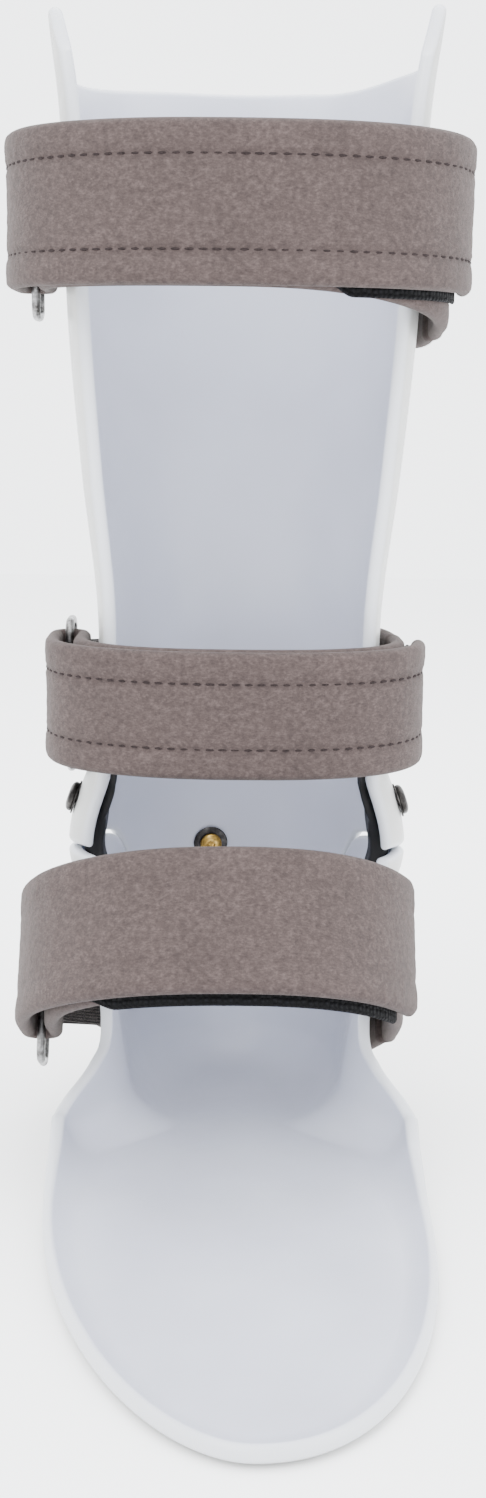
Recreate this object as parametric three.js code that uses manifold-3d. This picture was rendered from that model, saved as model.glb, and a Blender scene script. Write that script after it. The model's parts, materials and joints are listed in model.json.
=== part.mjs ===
// Hinged ankle foot orthosis for a right foot, size medium.
// Millimetres. +Z is up, the toes point along -Y, and +X is the inner (medial) side of the leg.
// The origin is on the flat underside of the sole, straight below the ankle axis.

import * as THREE from 'three';
import { mergeVertices } from 'three/addons/utils/BufferGeometryUtils.js';
import Module from 'manifold-3d';

const wasm = await Module();
wasm.setup();

// ---------- driving dimensions ----------

const WALL = 4;                  // thickness of the moulded shells
const ANKLE_Z = 88;              // height of the flexure axis above the sole
const GAP = 0.35;                // clearance between pieces that touch

const SHELL_TOP = { back: 319, side: 313, ear: 15 };
const EAR = { at: 0.88, halfWidth: 0.13 };
const SPLIT = { back: 63, gap: 1.2, frontRelief: 1.5 };
const ANKLE_TRIM = 14;           // how far the shells reach forward of the axis at the ankle

const SIDE_U = 0.72;             // share of each half section that lies behind the axis plane
const SECTION_POWER = 2.3;       // roundness of the leg section, 2 is an ellipse
const TRIM_TUCK = { share: 0.45, reach: 50 };  // narrowing of the section forward of the axis
const DOME = { height: 7, reachY: 20, reachUp: 30, reachDown: 22, sharpness: 1.2 };

const HEEL_RADIUS = 16;          // bottom edge rounding under the heel
const SPINE = { front: -130, back: 20 };  // ends of the line that the foot shell's sides face
const FOOT = {
  toeY: -190,
  blendEndY: -44,
  halfWidth: 53,
  toeX: 3,
  lateral: { widestY: -62, power: 1.85 },
  medial: { widestY: -76, power: 2.15 },
};

const FLEXURE = {
  halfLength: 24, endHalfWidth: 10, waistHalfWidth: 5.5, innerX: 39.6, leastThick: 3, screwZ: 14,
};
const SCREW = { headRadius: 4.6, headHeight: 2.2, headBase: 0.6, shankRadius: 2, depth: 2.6 };
const INSERT = { wall: 1, flangeRadius: 4.6, flangeThick: 1, sunk: 1 };
const STOP = { height: 80, headRadius: 3.6, shankRadius: 2, washerRadius: 5.6, nutRadius: 4.2 };
const STOP_BLOCK = { top: 90, thick: 5, standOff: 0.6, reachU: 0.16 };

const STRAP_THICK = 4;
const HOOK_THICK = 1.3;
const WIRE_RADIUS = 1.3;
const RING = { length: 12, spare: 9, drop: 2, cornerRadius: 3.5 };
const CHAFE = { thick: 1.6, slack: 0.9, width: 26, rivetMargin: 7, settled: 0.4 };
const RIVET = { head: 4.8, shank: 1.8, tail: 2.8, burr: 4.5 };
const TAIL_STAND_OFF = STRAP_THICK + HOOK_THICK + 2 * GAP;
const FOLD_GAP = 2 * WIRE_RADIUS + 1.8;

const SIDE_STEPS = 6;            // points along the anchored side run of a strap
const FRONT_STEPS = 24;          // points round its front
const TAIL_END = SIDE_STEPS / (SIDE_STEPS + FRONT_STEPS);
const ANCHOR_MARGIN = 8;         // strap left behind its anchor rivet

// Each closure in its own tilted frame: height of its centre line at the axis, tilt, width of the strap,
// half widths and forward reach of its inner face, where the side runs end, place of the ring's front bar,
// how far the anchored end hangs down, share of the front without hook strip at the tail's root and at its
// free end, share by which the tail stops short, depth of the anchor rivet, and length of the chafe tab.
const CLOSURES = [
  {
    name: 'calf', z: 272, tilt: -3.5, width: 41, medialX: 54.4, lateralX: 54.4, front: 50, cornerY: -8,
    power: 2.5, ringY: 2, droop: 9, hookStart: 0.3, hookTrim: 1 / 24, tailTrim: 0, rivet: 14, tab: 20,
  },
  {
    name: 'ankle', z: 135, tilt: -2, width: 36, medialX: 44.8, lateralX: 44.8, front: 35, cornerY: -6,
    power: 2.5, ringY: 2, droop: 0, hookStart: 0.34, hookTrim: 1 / 24, tailTrim: 0, rivet: 14, tab: 20,
  },
  {
    name: 'instep', z: 45.5, tilt: 28, width: 40, medialX: 45.4, lateralX: 52.5, front: 72, cornerY: -14,
    power: 2.3, ringY: -6, droop: 0, hookStart: 0.16, hookTrim: 3 / 24, tailTrim: 1 / 24, rivet: 14, tab: 26,
  },
];

// ---------- small helpers ----------

const vec = (x, y, z) => new THREE.Vector3(x, y, z);

const smoothstep = (low, high, value) => THREE.MathUtils.smoothstep(value, low, high);

const lerp = THREE.MathUtils.lerp;

// A smooth curve through [position, value] pairs.
function curveThrough(pairs) {
  const spline = new THREE.CubicInterpolant(pairs.map((p) => p[0]), pairs.map((p) => p[1]), 1);
  return (at) => spline.evaluate(at)[0];
}

function material(color, roughness, metalness = 0) {
  return () => new THREE.MeshStandardMaterial({ color, roughness, metalness });
}

const plastic = material(0xdfe2ea, 0.38);
const elastomer = material(0x17181a, 0.7);
const fabric = material(0x8b7f7c, 0.95);
const hookTape = material(0x141416, 0.9);
const webbing = material(0x5c5553, 0.9);
const steel = material(0xb9bcc0, 0.3, 1);
const brass = material(0x9a8248, 0.35, 1);
const darkMetal = material(0x2b2a28, 0.45, 0.8);

// ---------- solids from grids of points ----------

// Turns flat lists of positions and triangles into a closed solid that faces out.
function closedGeometry(points, triangles) {
  let volume = 0;
  for (const [a, b, c] of triangles) {
    volume += points[a].dot(points[b].clone().cross(points[c])) / 6;
  }
  const index = volume > 0 ? triangles.flat() : triangles.flatMap(([a, b, c]) => [a, c, b]);
  const geometry = new THREE.BufferGeometry();
  geometry.setAttribute('position', new THREE.Float32BufferAttribute(points.flatMap((p) => p.toArray()), 3));
  geometry.setIndex(index);
  geometry.computeVertexNormals();
  return geometry;
}

// Two triangles for each cell of a grid; at(row, column) gives the index of a point.
function gridFaces(rows, columns, at) {
  const faces = [];
  for (let row = 0; row < rows; row += 1) {
    for (let column = 0; column < columns; column += 1) {
      const a = at(row, column);
      const b = at(row, column + 1);
      const c = at(row + 1, column + 1);
      const d = at(row + 1, column);
      faces.push([a, b, c], [a, c, d]);
    }
  }
  return faces;
}

// A solid sheet between two grids of the same size, joined round their edges.
function sheetSolid(outer, inner) {
  const rows = outer.length;
  const columns = outer[0].length;
  const size = rows * columns;
  const at = (row, column) => row * columns + column;
  const under = (row, column) => size + at(row, column);
  const faces = gridFaces(rows - 1, columns - 1, at);
  faces.push(...gridFaces(rows - 1, columns - 1, (row, column) => under(row, columns - 1 - column)));
  for (let column = 0; column < columns - 1; column += 1) {
    faces.push([at(0, column + 1), at(0, column), under(0, column)]);
    faces.push([at(0, column + 1), under(0, column), under(0, column + 1)]);
    const last = rows - 1;
    faces.push([at(last, column), at(last, column + 1), under(last, column + 1)]);
    faces.push([at(last, column), under(last, column + 1), under(last, column)]);
  }
  for (let row = 0; row < rows - 1; row += 1) {
    faces.push([at(row, 0), at(row + 1, 0), under(row + 1, 0)]);
    faces.push([at(row, 0), under(row + 1, 0), under(row, 0)]);
    const last = columns - 1;
    faces.push([at(row + 1, last), at(row, last), under(row, last)]);
    faces.push([at(row + 1, last), under(row, last), under(row + 1, last)]);
  }
  return closedGeometry([...outer.flat(), ...inner.flat()], faces);
}

// A solid along a row of sections, each a ring of points; either capped at both ends or closed on itself.
function loftSolid(sections, closed = false) {
  const sides = sections[0].length;
  const count = sections.length;
  const at = (row, column) => (row % count) * sides + (column % sides);
  const faces = gridFaces(closed ? count : count - 1, sides, at);
  if (!closed) {
    for (let side = 1; side < sides - 1; side += 1) {
      faces.push([at(0, 0), at(0, side + 1), at(0, side)]);
      faces.push([at(count - 1, 0), at(count - 1, side), at(count - 1, side + 1)]);
    }
  }
  return closedGeometry(sections.flat(), faces);
}

// ---------- cutting and joining ----------

// Joins vertices that coincide and drops the triangles that this closes up.
function welded(geometry) {
  const bare = geometry.clone();
  bare.deleteAttribute('normal');
  bare.deleteAttribute('uv');
  const merged = mergeVertices(bare, 1e-4);
  const index = [];
  for (let i = 0; i < merged.index.count; i += 3) {
    const [a, b, c] = [0, 1, 2].map((corner) => merged.index.getX(i + corner));
    if (a !== b && b !== c && c !== a) {
      index.push(a, b, c);
    }
  }
  merged.setIndex(index);
  merged.computeVertexNormals();
  return merged;
}

function toManifold(geometry) {
  const solid = welded(geometry);
  return new wasm.Manifold(new wasm.Mesh({
    numProp: 3,
    vertProperties: new Float32Array(solid.attributes.position.array),
    triVerts: new Uint32Array(solid.index.array),
  }));
}

function fromManifold(solid) {
  const mesh = solid.getMesh();
  const geometry = new THREE.BufferGeometry();
  geometry.setAttribute('position', new THREE.BufferAttribute(new Float32Array(mesh.vertProperties), 3));
  geometry.setIndex(new THREE.BufferAttribute(new Uint32Array(mesh.triVerts), 1));
  geometry.computeVertexNormals();
  return geometry;
}

function cut(geometry, tools) {
  return fromManifold(tools.reduce((solid, tool) => solid.subtract(toManifold(tool)), toManifold(geometry)));
}

// A turned solid about local Z from [radius, height] points, placed by a matrix.
function turned(profile, sides = 14) {
  const geometry = new THREE.LatheGeometry(profile.map(([r, z]) => new THREE.Vector2(r, z)), sides);
  geometry.rotateX(Math.PI / 2);
  return welded(geometry);
}

function drill(place, radius, from, to) {
  return turned([[0, from], [radius, from], [radius, to], [0, to]]).applyMatrix4(place);
}

// ---------- the shape of the leg ----------

const halfWidth = curveThrough([
  [0, 32], [16, 37], [50, 42], [88, 44.5], [125, 42.6], [160, 42.4], [200, 47], [245, 51], [300, 53], [332, 57],
]);

const backDepth = curveThrough([
  [0, 47], [16, 51], [40, 51.5], [70, 47], [100, 43], [150, 41.5], [200, 46], [250, 51], [300, 54], [332, 57],
]);

const frontTrim = curveThrough([
  [0, ANKLE_TRIM], [50, ANKLE_TRIM], [92, ANKLE_TRIM], [110, 15.5], [140, 19], [240, 23], [300, 20], [332, 15],
]);

// Outward bulge over the flexure joint.
function dome(y, z) {
  const reachZ = z > ANKLE_Z ? DOME.reachUp : DOME.reachDown;
  const reach = Math.hypot(y / DOME.reachY, (z - ANKLE_Z) / reachZ);
  return DOME.height * Math.cos(Math.PI / 2 * Math.min(1, reach)) ** DOME.sharpness;
}

// Outer face of the leg; u runs from -1 at the lateral trim, through 0 at the back, to 1 at the medial trim.
function legPoint(u, z) {
  const side = Math.sign(u);
  const share = Math.abs(u);
  const width = halfWidth(z);
  if (share <= SIDE_U) {
    const angle = Math.PI / 2 * share / SIDE_U;
    const x = width * Math.sin(angle) ** (2 / SECTION_POWER);
    const y = backDepth(z) * Math.cos(angle) ** (2 / SECTION_POWER);
    return vec(side * (x + dome(y, z)), y, z);
  }
  const y = -frontTrim(z) * (share - SIDE_U) / (1 - SIDE_U);
  const tuck = TRIM_TUCK.share * (y / TRIM_TUCK.reach) ** 2;
  return vec(side * (width * (1 - tuck) + dome(y, z)), y, z);
}

// Unit normal of a surface given as a function of two parameters.
function normalOf(surface, a, b, step = 1e-3) {
  const alongA = surface(a + step, b).sub(surface(a - step, b));
  const alongB = surface(a, b + step).sub(surface(a, b - step));
  return alongA.cross(alongB).normalize();
}

function outwardNormal(u, z) {
  const normal = normalOf(legPoint, u, z);
  const point = legPoint(u, z);
  return normal.dot(vec(point.x, point.y, 0)) < 0 ? normal.negate() : normal;
}

// Height of the split between the shells, at its middle, round the section.
function splitHeight(u) {
  return lerp(SPLIT.back, ANKLE_Z, smoothstep(0.30, 0.56, Math.abs(u)));
}

function splitHalfGap(u) {
  return SPLIT.gap / 2 + SPLIT.frontRelief / 2 * smoothstep(SIDE_U, 1, Math.abs(u));
}

// ---------- shells ----------

function evenly(from, to, count) {
  return Array.from({ length: count + 1 }, (_, i) => lerp(from, to, i / count));
}

function calfShellGeometry() {
  const columns = evenly(-1, 1, 32);
  const rows = evenly(0, 1, 20).map((share) => share ** 1.4);
  const topHeight = (u) => {
    const share = Math.abs(u);
    const ear = Math.max(0, 1 - ((share - EAR.at) / EAR.halfWidth) ** 2);
    return lerp(SHELL_TOP.back, SHELL_TOP.side, smoothstep(0.1, SIDE_U, share)) + SHELL_TOP.ear * ear;
  };
  const outer = [];
  const inner = [];
  for (const v of rows) {
    const outerRow = [];
    const innerRow = [];
    for (const u of columns) {
      const z = lerp(splitHeight(u) + splitHalfGap(u), topHeight(u), v);
      const point = legPoint(u, z);
      outerRow.push(point);
      innerRow.push(point.clone().addScaledVector(outwardNormal(u, z), -WALL).setZ(z));
    }
    outer.push(outerRow);
    inner.push(innerRow);
  }
  return sheetSolid(outer, inner);
}

// Height of the foot shell's outer top edge along the side, forward of the ankle.
const lipHeight = curveThrough([
  [-190, 0.9], [-150, 1.6], [-110, 2.4], [-82, 3.6], [-65, 7], [-48, 13.5], [-35, 21], [-26, 28], [-20, 37],
  [-17, 60], [-14, ANKLE_Z - 1.4],
]);

// Stations round half of the foot shell: the leg part first, then the side of the foot, then the toe.
function footStations(side) {
  const shape = side > 0 ? FOOT.medial : FOOT.lateral;
  const stations = evenly(0, 1, 16).map((u) => ({
    top: splitHeight(u) - splitHalfGap(u),
    plan: (z) => legPoint(side * Math.max(u, 1e-6), z).setZ(0),
  }));
  const legEdge = (z) => Math.abs(legPoint(1, z).x);
  const sideYs = [-15.5, -17, -18.5, -20, -23, -27, -32, -38, -45, -53];
  for (const y of sideYs) {
    const spread = smoothstep(ANKLE_TRIM, -FOOT.blendEndY, -y);
    stations.push({ top: lipHeight(y), plan: (z) => vec(side * lerp(legEdge(z), FOOT.halfWidth, spread), y, 0) });
  }
  const toeLength = shape.widestY - FOOT.toeY;
  for (const angle of evenly(Math.PI / 2, 0, 12)) {
    const forward = Math.cos(angle) ** (2 / shape.power);
    const y = shape.widestY - toeLength * forward;
    const x = side * FOOT.halfWidth * Math.sin(angle) ** (2 / shape.power) + FOOT.toeX * forward ** 2;
    stations.push({ top: lipHeight(y), plan: () => vec(x, y, 0) });
  }
  return stations;
}

// Outer face of one station from the floor edge up to its top edge.
function stationProfile(station, inward, rows) {
  const radius = HEEL_RADIUS;
  const full = station.top >= radius;
  const lastAngle = full ? Math.PI / 2 : Math.acos(1 - station.top / radius);
  const bendRows = full ? 4 : rows;
  return evenly(0, rows, rows).map((row) => {
    if (row <= bendRows) {
      const angle = lastAngle * row / bendRows;
      const z = radius * (1 - Math.cos(angle));
      const inset = radius * (Math.sin(lastAngle) - Math.sin(angle));
      return station.plan(z).addScaledVector(inward, inset).setZ(z);
    }
    const z = lerp(radius, station.top, (row - bendRows) / (rows - bendRows));
    return station.plan(z).setZ(z);
  });
}

// The nearest point of the foot's middle line to a depth.
function spinePoint(y) {
  return vec(0, THREE.MathUtils.clamp(y, SPINE.front, SPINE.back), 0);
}

function footShellGeometry() {
  const lateral = footStations(-1);
  const medial = footStations(1);
  const stations = [...lateral, ...medial.slice(1, -1).reverse()];
  const count = stations.length;
  const rows = 12;
  const rims = stations.map((station) => station.plan(HEEL_RADIUS));
  const outer = stations.map((station, i) => {
    const along = rims[(i + 1) % count].clone().sub(rims[(i + count - 1) % count]).normalize();
    const inward = vec(along.y, -along.x, 0);
    const towardsMiddle = spinePoint(rims[i].y).sub(rims[i]);
    return stationProfile(station, inward.dot(towardsMiddle) < 0 ? inward.negate() : inward, rows);
  });
  const inner = outer.map((profile, i) => {
    const before = outer[(i + count - 1) % count];
    const after = outer[(i + 1) % count];
    return profile.map((point, row) => {
      if (row === 0) {
        return point.clone().setZ(WALL);
      }
      const up = profile[Math.min(row + 1, rows)].clone().sub(profile[row - 1]);
      const along = after[row].clone().sub(before[row]);
      const normal = along.cross(up).normalize();
      const outward = point.clone().sub(spinePoint(point.y)).setZ(-SPINE.back);
      return point.clone().addScaledVector(normal.dot(outward) > 0 ? normal.negate() : normal, WALL);
    });
  });
  const floorFaces = THREE.ShapeUtils.triangulateShape(outer.map((p) => new THREE.Vector2(p[0].x, p[0].y)), []);
  const width = rows + 1;
  const at = (column, row) => (column % count) * width + row;
  const size = count * width;
  const under = (column, row) => size + at(column, row);
  const faces = gridFaces(count, rows, at);
  faces.push(...gridFaces(count, rows, (column, row) => under(column, rows - row)));
  for (let i = 0; i < count; i += 1) {
    faces.push([at(i, rows), under(i + 1, rows), at(i + 1, rows)]);
    faces.push([at(i, rows), under(i, rows), under(i + 1, rows)]);
  }
  const forwards = runsAlongRing(floorFaces, count);
  for (const face of floorFaces) {
    const ring = forwards ? face : [...face].reverse();
    faces.push(ring.map((i) => at(i, 0)));
    faces.push([...ring].reverse().map((i) => under(i, 0)));
  }
  return closedGeometry([...outer.flat(), ...inner.flat()], faces);
}

// Whether triangles that fill a ring of points run round it in the order of the points.
function runsAlongRing(faces, count) {
  return faces.some(([a, b, c]) => [[a, b], [b, c], [c, a]].some(([from, to]) => to === (from + 1) % count));
}

// ---------- places on the leg ----------

// The parameter u on one side where the outer face at height z lies at depth y.
function stationAt(side, y, z) {
  let low = 0;
  let high = 1;
  for (let i = 0; i < 40; i += 1) {
    const middle = (low + high) / 2;
    if (legPoint(side * middle, z).y > y) {
      low = middle;
    } else {
      high = middle;
    }
  }
  return side * (low + high) / 2;
}

// A frame on the outer face of the shell: local Z points out of it.
function placeOnLeg(u, z) {
  const normal = outwardNormal(u, z);
  const turn = new THREE.Quaternion().setFromUnitVectors(vec(0, 0, 1), normal);
  return new THREE.Matrix4().compose(legPoint(u, z), turn, vec(1, 1, 1));
}

function mesh(name, geometry, makeMaterial, place) {
  const part = new THREE.Mesh(geometry, makeMaterial());
  part.name = name;
  if (place) {
    place.decompose(part.position, part.quaternion, part.scale);
  }
  return part;
}

// ---------- ankle hinge ----------

function flexureGeometry(side) {
  const rows = evenly(-FLEXURE.halfLength, FLEXURE.halfLength, 12);
  const columns = evenly(-1, 1, 4);
  const halfAt = (dz) => {
    const share = Math.abs(dz) / FLEXURE.halfLength;
    const width = lerp(FLEXURE.waistHalfWidth, FLEXURE.endHalfWidth, smoothstep(0.05, 0.55, share));
    return width * Math.sqrt(1 - 0.75 * smoothstep(0.6, 1, share) ** 2);
  };
  const outer = [];
  const inner = [];
  for (const dz of rows) {
    const outerRow = [];
    const innerRow = [];
    for (const column of columns) {
      const y = halfAt(dz) * column;
      const z = ANKLE_Z + dz;
      const u = stationAt(side, y, z);
      const depth = (WALL + 2 * GAP) / Math.abs(outwardNormal(u, z).x);
      const outerX = Math.abs(legPoint(u, z).x) - depth;
      outerRow.push(vec(side * outerX, y, z));
      innerRow.push(vec(side * Math.min(FLEXURE.innerX, outerX - FLEXURE.leastThick), y, z));
    }
    outer.push(outerRow);
    inner.push(innerRow);
  }
  return sheetSolid(outer, inner);
}

// A pan-headed screw from its tip inside the shell to its head outside it.
function screwGeometry() {
  const { headRadius, headHeight, headBase, shankRadius, depth } = SCREW;
  return turned([
    [0, -WALL - depth], [shankRadius, -WALL - depth], [shankRadius, headBase], [headRadius, headBase],
    [headRadius, headBase + headHeight * 0.4], [headRadius * 0.75, headBase + headHeight * 0.85],
    [headRadius * 0.35, headBase + headHeight], [0, headBase + headHeight],
  ]);
}

// A flanged sleeve inside the flexure joint that takes the screw.
function insertGeometry() {
  const bore = SCREW.shankRadius + GAP;
  const barrel = bore + INSERT.wall;
  const seat = -WALL - SCREW.depth;
  const bottom = seat - INSERT.flangeThick;
  const top = -WALL - INSERT.sunk;
  return turned([
    [bore, bottom], [INSERT.flangeRadius, bottom], [INSERT.flangeRadius, seat], [barrel, seat], [barrel, top],
    [bore, top], [bore, bottom],
  ]);
}

// Holes through the flexure joint for its insert.
function insertSeat(place) {
  const seat = -WALL - SCREW.depth;
  const beyond = 3 * WALL;
  const barrelHole = drill(place, SCREW.shankRadius + INSERT.wall + 2 * GAP, -beyond, 0);
  const flangeHole = drill(place, INSERT.flangeRadius + GAP, -beyond, seat + GAP);
  return [barrelHole, flangeHole];
}

function addAnkleHinge(group, side, sideName, shellHoles) {
  const seats = [];
  for (const [level, dz] of [['upper', FLEXURE.screwZ], ['lower', -FLEXURE.screwZ]]) {
    const z = ANKLE_Z + dz;
    const place = placeOnLeg(stationAt(side, 0, z), z);
    seats.push(...insertSeat(place));
    shellHoles[level].push(drill(place, SCREW.shankRadius + GAP, -WALL * 2, WALL));
    group.add(mesh(`joint_screw_${level}_${sideName}`, screwGeometry(), darkMetal, place));
    group.add(mesh(`joint_insert_${level}_${sideName}`, insertGeometry(), brass, place));
  }
  group.add(mesh(`flexure_joint_${sideName}`, cut(flexureGeometry(side), seats), elastomer));
}

// ---------- posterior stop ----------

function addPosteriorStop(group, shellHoles) {
  const { height, headRadius, shankRadius, washerRadius, nutRadius } = STOP;
  const u = stationAt(-1, backDepth(height) - 0.5, height);
  const place = placeOnLeg(u, height);
  const outside = STOP_BLOCK.standOff * 2 + STOP_BLOCK.thick;
  const bore = shankRadius + GAP;
  const headTop = -WALL - 1.4;
  shellHoles.upper.push(drill(place, bore, -WALL * 2, WALL));
  const screw = turned([
    [0, headTop - 1.8], [headRadius * 0.6, headTop - 1.6], [headRadius, headTop - 0.8], [headRadius, headTop],
    [shankRadius, headTop], [shankRadius, outside + 3.4], [0, outside + 3.4],
  ]);
  const washer = ringSolid(bore, washerRadius, headTop + 0.1, -WALL - 0.4);
  const nut = ringSolid(bore, nutRadius, outside + 0.2, outside + 3, 6);
  group.add(mesh('stop_screw', screw, brass, place));
  group.add(mesh('stop_washer', washer, darkMetal, place));
  group.add(mesh('stop_nut', nut, brass, place));
  group.add(mesh('stop_block', stopBlockGeometry(u, place), elastomer));
}

// A block that hugs the outside of the tongue, with its foot above the rim of the heel cup.
function stopBlockGeometry(centreU, place) {
  const { top, thick, standOff, reachU } = STOP_BLOCK;
  const rows = evenly(SPLIT.back + SPLIT.gap / 2 + 2 * standOff, top, 8);
  const columns = evenly(centreU - reachU, centreU + reachU, 8);
  const layer = (offset) => rows.map((z) => columns.map((u) => {
    const normal = outwardNormal(u, z);
    return legPoint(u, z).addScaledVector(normal, offset).setZ(z);
  }));
  return cut(sheetSolid(layer(standOff + thick), layer(standOff)), [
    drill(place, STOP.shankRadius + GAP, -WALL, WALL * 3),
  ]);
}

function ringSolid(inner, outer, low, high, sides = 14) {
  return turned([[inner, low], [outer, low], [outer, high], [inner, high], [inner, low]], sides);
}

// ---------- closures ----------

// Matrix of a closure's own frame: local Z runs across the strap, local Y back along the leg's side.
function closureMatrix(closure) {
  const matrix = new THREE.Matrix4().makeRotationX(-THREE.MathUtils.degToRad(closure.tilt));
  return matrix.setPosition(0, 0, closure.z);
}

// Where a point of the closure's frame at depth y and width z meets the shell: its station and height.
function underClosure(closure, side, y, z) {
  const place = vec(0, y, z).applyMatrix4(closureMatrix(closure));
  return { u: stationAt(side, place.y, place.z), z: place.z };
}

// Half width of the shell, at its widest under the closure, at depth y.
function shellReach(closure, side, y) {
  const reaches = evenly(-0.5, 0.5, 6).map((share) => {
    const spot = underClosure(closure, side, y, share * closure.width - (side > 0 ? closure.droop : 0));
    return Math.abs(legPoint(spot.u, spot.z).x);
  });
  return Math.max(...reaches);
}

// Points of the strap's inner face seen along its width, from the anchored end round the front to the fold.
function strapPath(closure, offset) {
  const { medialX, lateralX, front, cornerY, power, rivet } = closure;
  const points = [];
  for (const y of evenly(rivet + ANCHOR_MARGIN, cornerY, SIDE_STEPS).slice(0, -1)) {
    const reach = y < 0 ? medialX : Math.min(medialX, shellReach(closure, 1, y) + 3 * GAP);
    points.push(new THREE.Vector2(reach + offset, y));
  }
  for (const angle of evenly(0, Math.PI, FRONT_STEPS)) {
    const cosine = Math.cos(angle);
    const reachX = (cosine > 0 ? medialX : lateralX) + offset;
    const x = Math.sign(cosine) * reachX * Math.abs(cosine) ** (2 / power);
    const y = cornerY - (front + cornerY + offset) * Math.sin(angle) ** (2 / power);
    points.push(new THREE.Vector2(x, y));
  }
  return points;
}

// A flat band along a path: inner and outer lines with a width across, lowered by drop(share).
function bandSolid(innerLine, outerLine, width, drop = () => 0) {
  const last = innerLine.length - 1;
  const sections = innerLine.map((near, i) => {
    const far = outerLine[i];
    const z = -drop(i / last);
    const half = width / 2;
    return [
      vec(near.x, near.y, z - half), vec(near.x, near.y, z + half),
      vec(far.x, far.y, z + half), vec(far.x, far.y, z - half),
    ];
  });
  return loftSolid(sections);
}

// The inner and outer lines of a layer of the strap between two offsets from the leg side.
function layerLines(closure, near, far, from, to) {
  const inner = strapPath(closure, near);
  const outer = strapPath(closure, far);
  const first = Math.round(from * (inner.length - 1));
  const last = Math.round(to * (inner.length - 1));
  return [inner.slice(first, last + 1), outer.slice(first, last + 1)];
}

// The anchored strap: round the leg, then folded round the ring's bar to its outer side.
function strapGeometry(closure, rivetPlace) {
  const [inner, outer] = layerLines(closure, 0, STRAP_THICK, 0, 1);
  const bar = new THREE.Vector2(-(closure.lateralX + STRAP_THICK + FOLD_GAP / 2), closure.ringY);
  for (const angle of evenly(0, Math.PI, 10)) {
    const direction = new THREE.Vector2(Math.cos(angle), Math.sin(angle));
    outer.push(bar.clone().addScaledVector(direction, FOLD_GAP / 2));
    inner.push(bar.clone().addScaledVector(direction, FOLD_GAP / 2 + STRAP_THICK));
  }
  const drop = (share) => closure.droop * (1 - smoothstep(0, 0.45, share));
  return cut(bandSolid(inner, outer, closure.width, drop), [rivetHole(closure, rivetPlace)]);
}

function rivetHole(closure, rivetPlace) {
  const local = closureMatrix(closure).invert().multiply(rivetPlace);
  return drill(local, RIVET.shank + GAP, -WALL, 14);
}

// The tail: from its hinge line beside the fold, round the front, to its free end on the medial side.
function tailGeometry(closure) {
  const rootX = -(closure.lateralX + STRAP_THICK + FOLD_GAP);
  const start = lerp(TAIL_END, 1, closure.tailTrim);
  const lines = layerLines(closure, TAIL_STAND_OFF, TAIL_STAND_OFF + STRAP_THICK, start, 1);
  lines.forEach((line, layer) => {
    const end = line[line.length - 1];
    const spread = rootX - layer * STRAP_THICK - end.x;
    const endX = end.x;
    for (const point of line) {
      point.x += spread * smoothstep(0.55, 1, point.x / endX);
    }
    line.push(new THREE.Vector2(rootX - layer * STRAP_THICK, closure.ringY - STRAP_THICK / 2 - GAP));
  });
  return bandSolid(...lines, closure.width);
}

// The hook strip lies under the tail and stops short of both its root and its free end.
function hookGeometry(closure) {
  const near = STRAP_THICK + GAP;
  const start = lerp(TAIL_END, 1, closure.hookTrim);
  const lines = layerLines(closure, near, near + HOOK_THICK, start, 1 - closure.hookStart);
  return bandSolid(...lines, closure.width - 2);
}

// A rectangular wire ring in the local YZ plane with rounded corners.
function wireRingGeometry(closure) {
  const halfY = RING.length / 2;
  const halfZ = (closure.width + RING.spare) / 2;
  const radius = RING.cornerRadius;
  const centreLine = [];
  for (let corner = 0; corner < 4; corner += 1) {
    const signY = corner === 0 || corner === 3 ? 1 : -1;
    const signZ = corner < 2 ? 1 : -1;
    for (const step of evenly(0, Math.PI / 2, 3)) {
      const angle = corner * Math.PI / 2 + step;
      centreLine.push(vec(0, signY * (halfY - radius) + radius * Math.cos(angle),
        signZ * (halfZ - radius) + radius * Math.sin(angle)));
    }
  }
  const count = centreLine.length;
  const sections = centreLine.map((centre, i) => {
    const along = centreLine[(i + 1) % count].clone().sub(centreLine[(i + count - 1) % count]).normalize();
    const sideways = vec(1, 0, 0);
    const across = along.clone().cross(sideways);
    return evenly(0, 2 * Math.PI, 8).slice(0, -1).map((angle) => centre.clone()
      .addScaledVector(sideways, WIRE_RADIUS * Math.cos(angle))
      .addScaledVector(across, WIRE_RADIUS * Math.sin(angle)));
  });
  return loftSolid(sections, true);
}

// Where the ring's two long bars are, seen along the strap's width.
function ringCentre(closure) {
  const x = -(closure.lateralX + STRAP_THICK + FOLD_GAP / 2);
  return new THREE.Vector2(x, closure.ringY + RING.length / 2 - WIRE_RADIUS);
}

// Webbing tab that is wrapped round the ring's rear bar and lies on the shell back to its rivet.
function chafeGeometry(closure, rivetPlace) {
  const bar = ringCentre(closure).add(new THREE.Vector2(0, RING.length / 2));
  const nearRadius = WIRE_RADIUS + CHAFE.slack;
  const inner = [];
  const outer = [];
  for (const angle of evenly(Math.PI * 0.8, 2 * Math.PI, 12)) {
    const direction = new THREE.Vector2(Math.cos(angle), Math.sin(angle));
    outer.push(bar.clone().addScaledVector(direction, nearRadius));
    inner.push(bar.clone().addScaledVector(direction, nearRadius + CHAFE.thick));
  }
  for (const share of evenly(0, 1, 8).slice(1)) {
    const y = bar.y + closure.tab * share;
    const onShell = -(shellReach(closure, -1, y) + 3 * GAP);
    const x = lerp(bar.x + nearRadius + CHAFE.thick, onShell, smoothstep(0, CHAFE.settled, share));
    inner.push(new THREE.Vector2(x, y));
    outer.push(new THREE.Vector2(x - CHAFE.thick, y));
  }
  return cut(bandSolid(inner, outer, CHAFE.width), [rivetHole(closure, rivetPlace)]);
}

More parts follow.
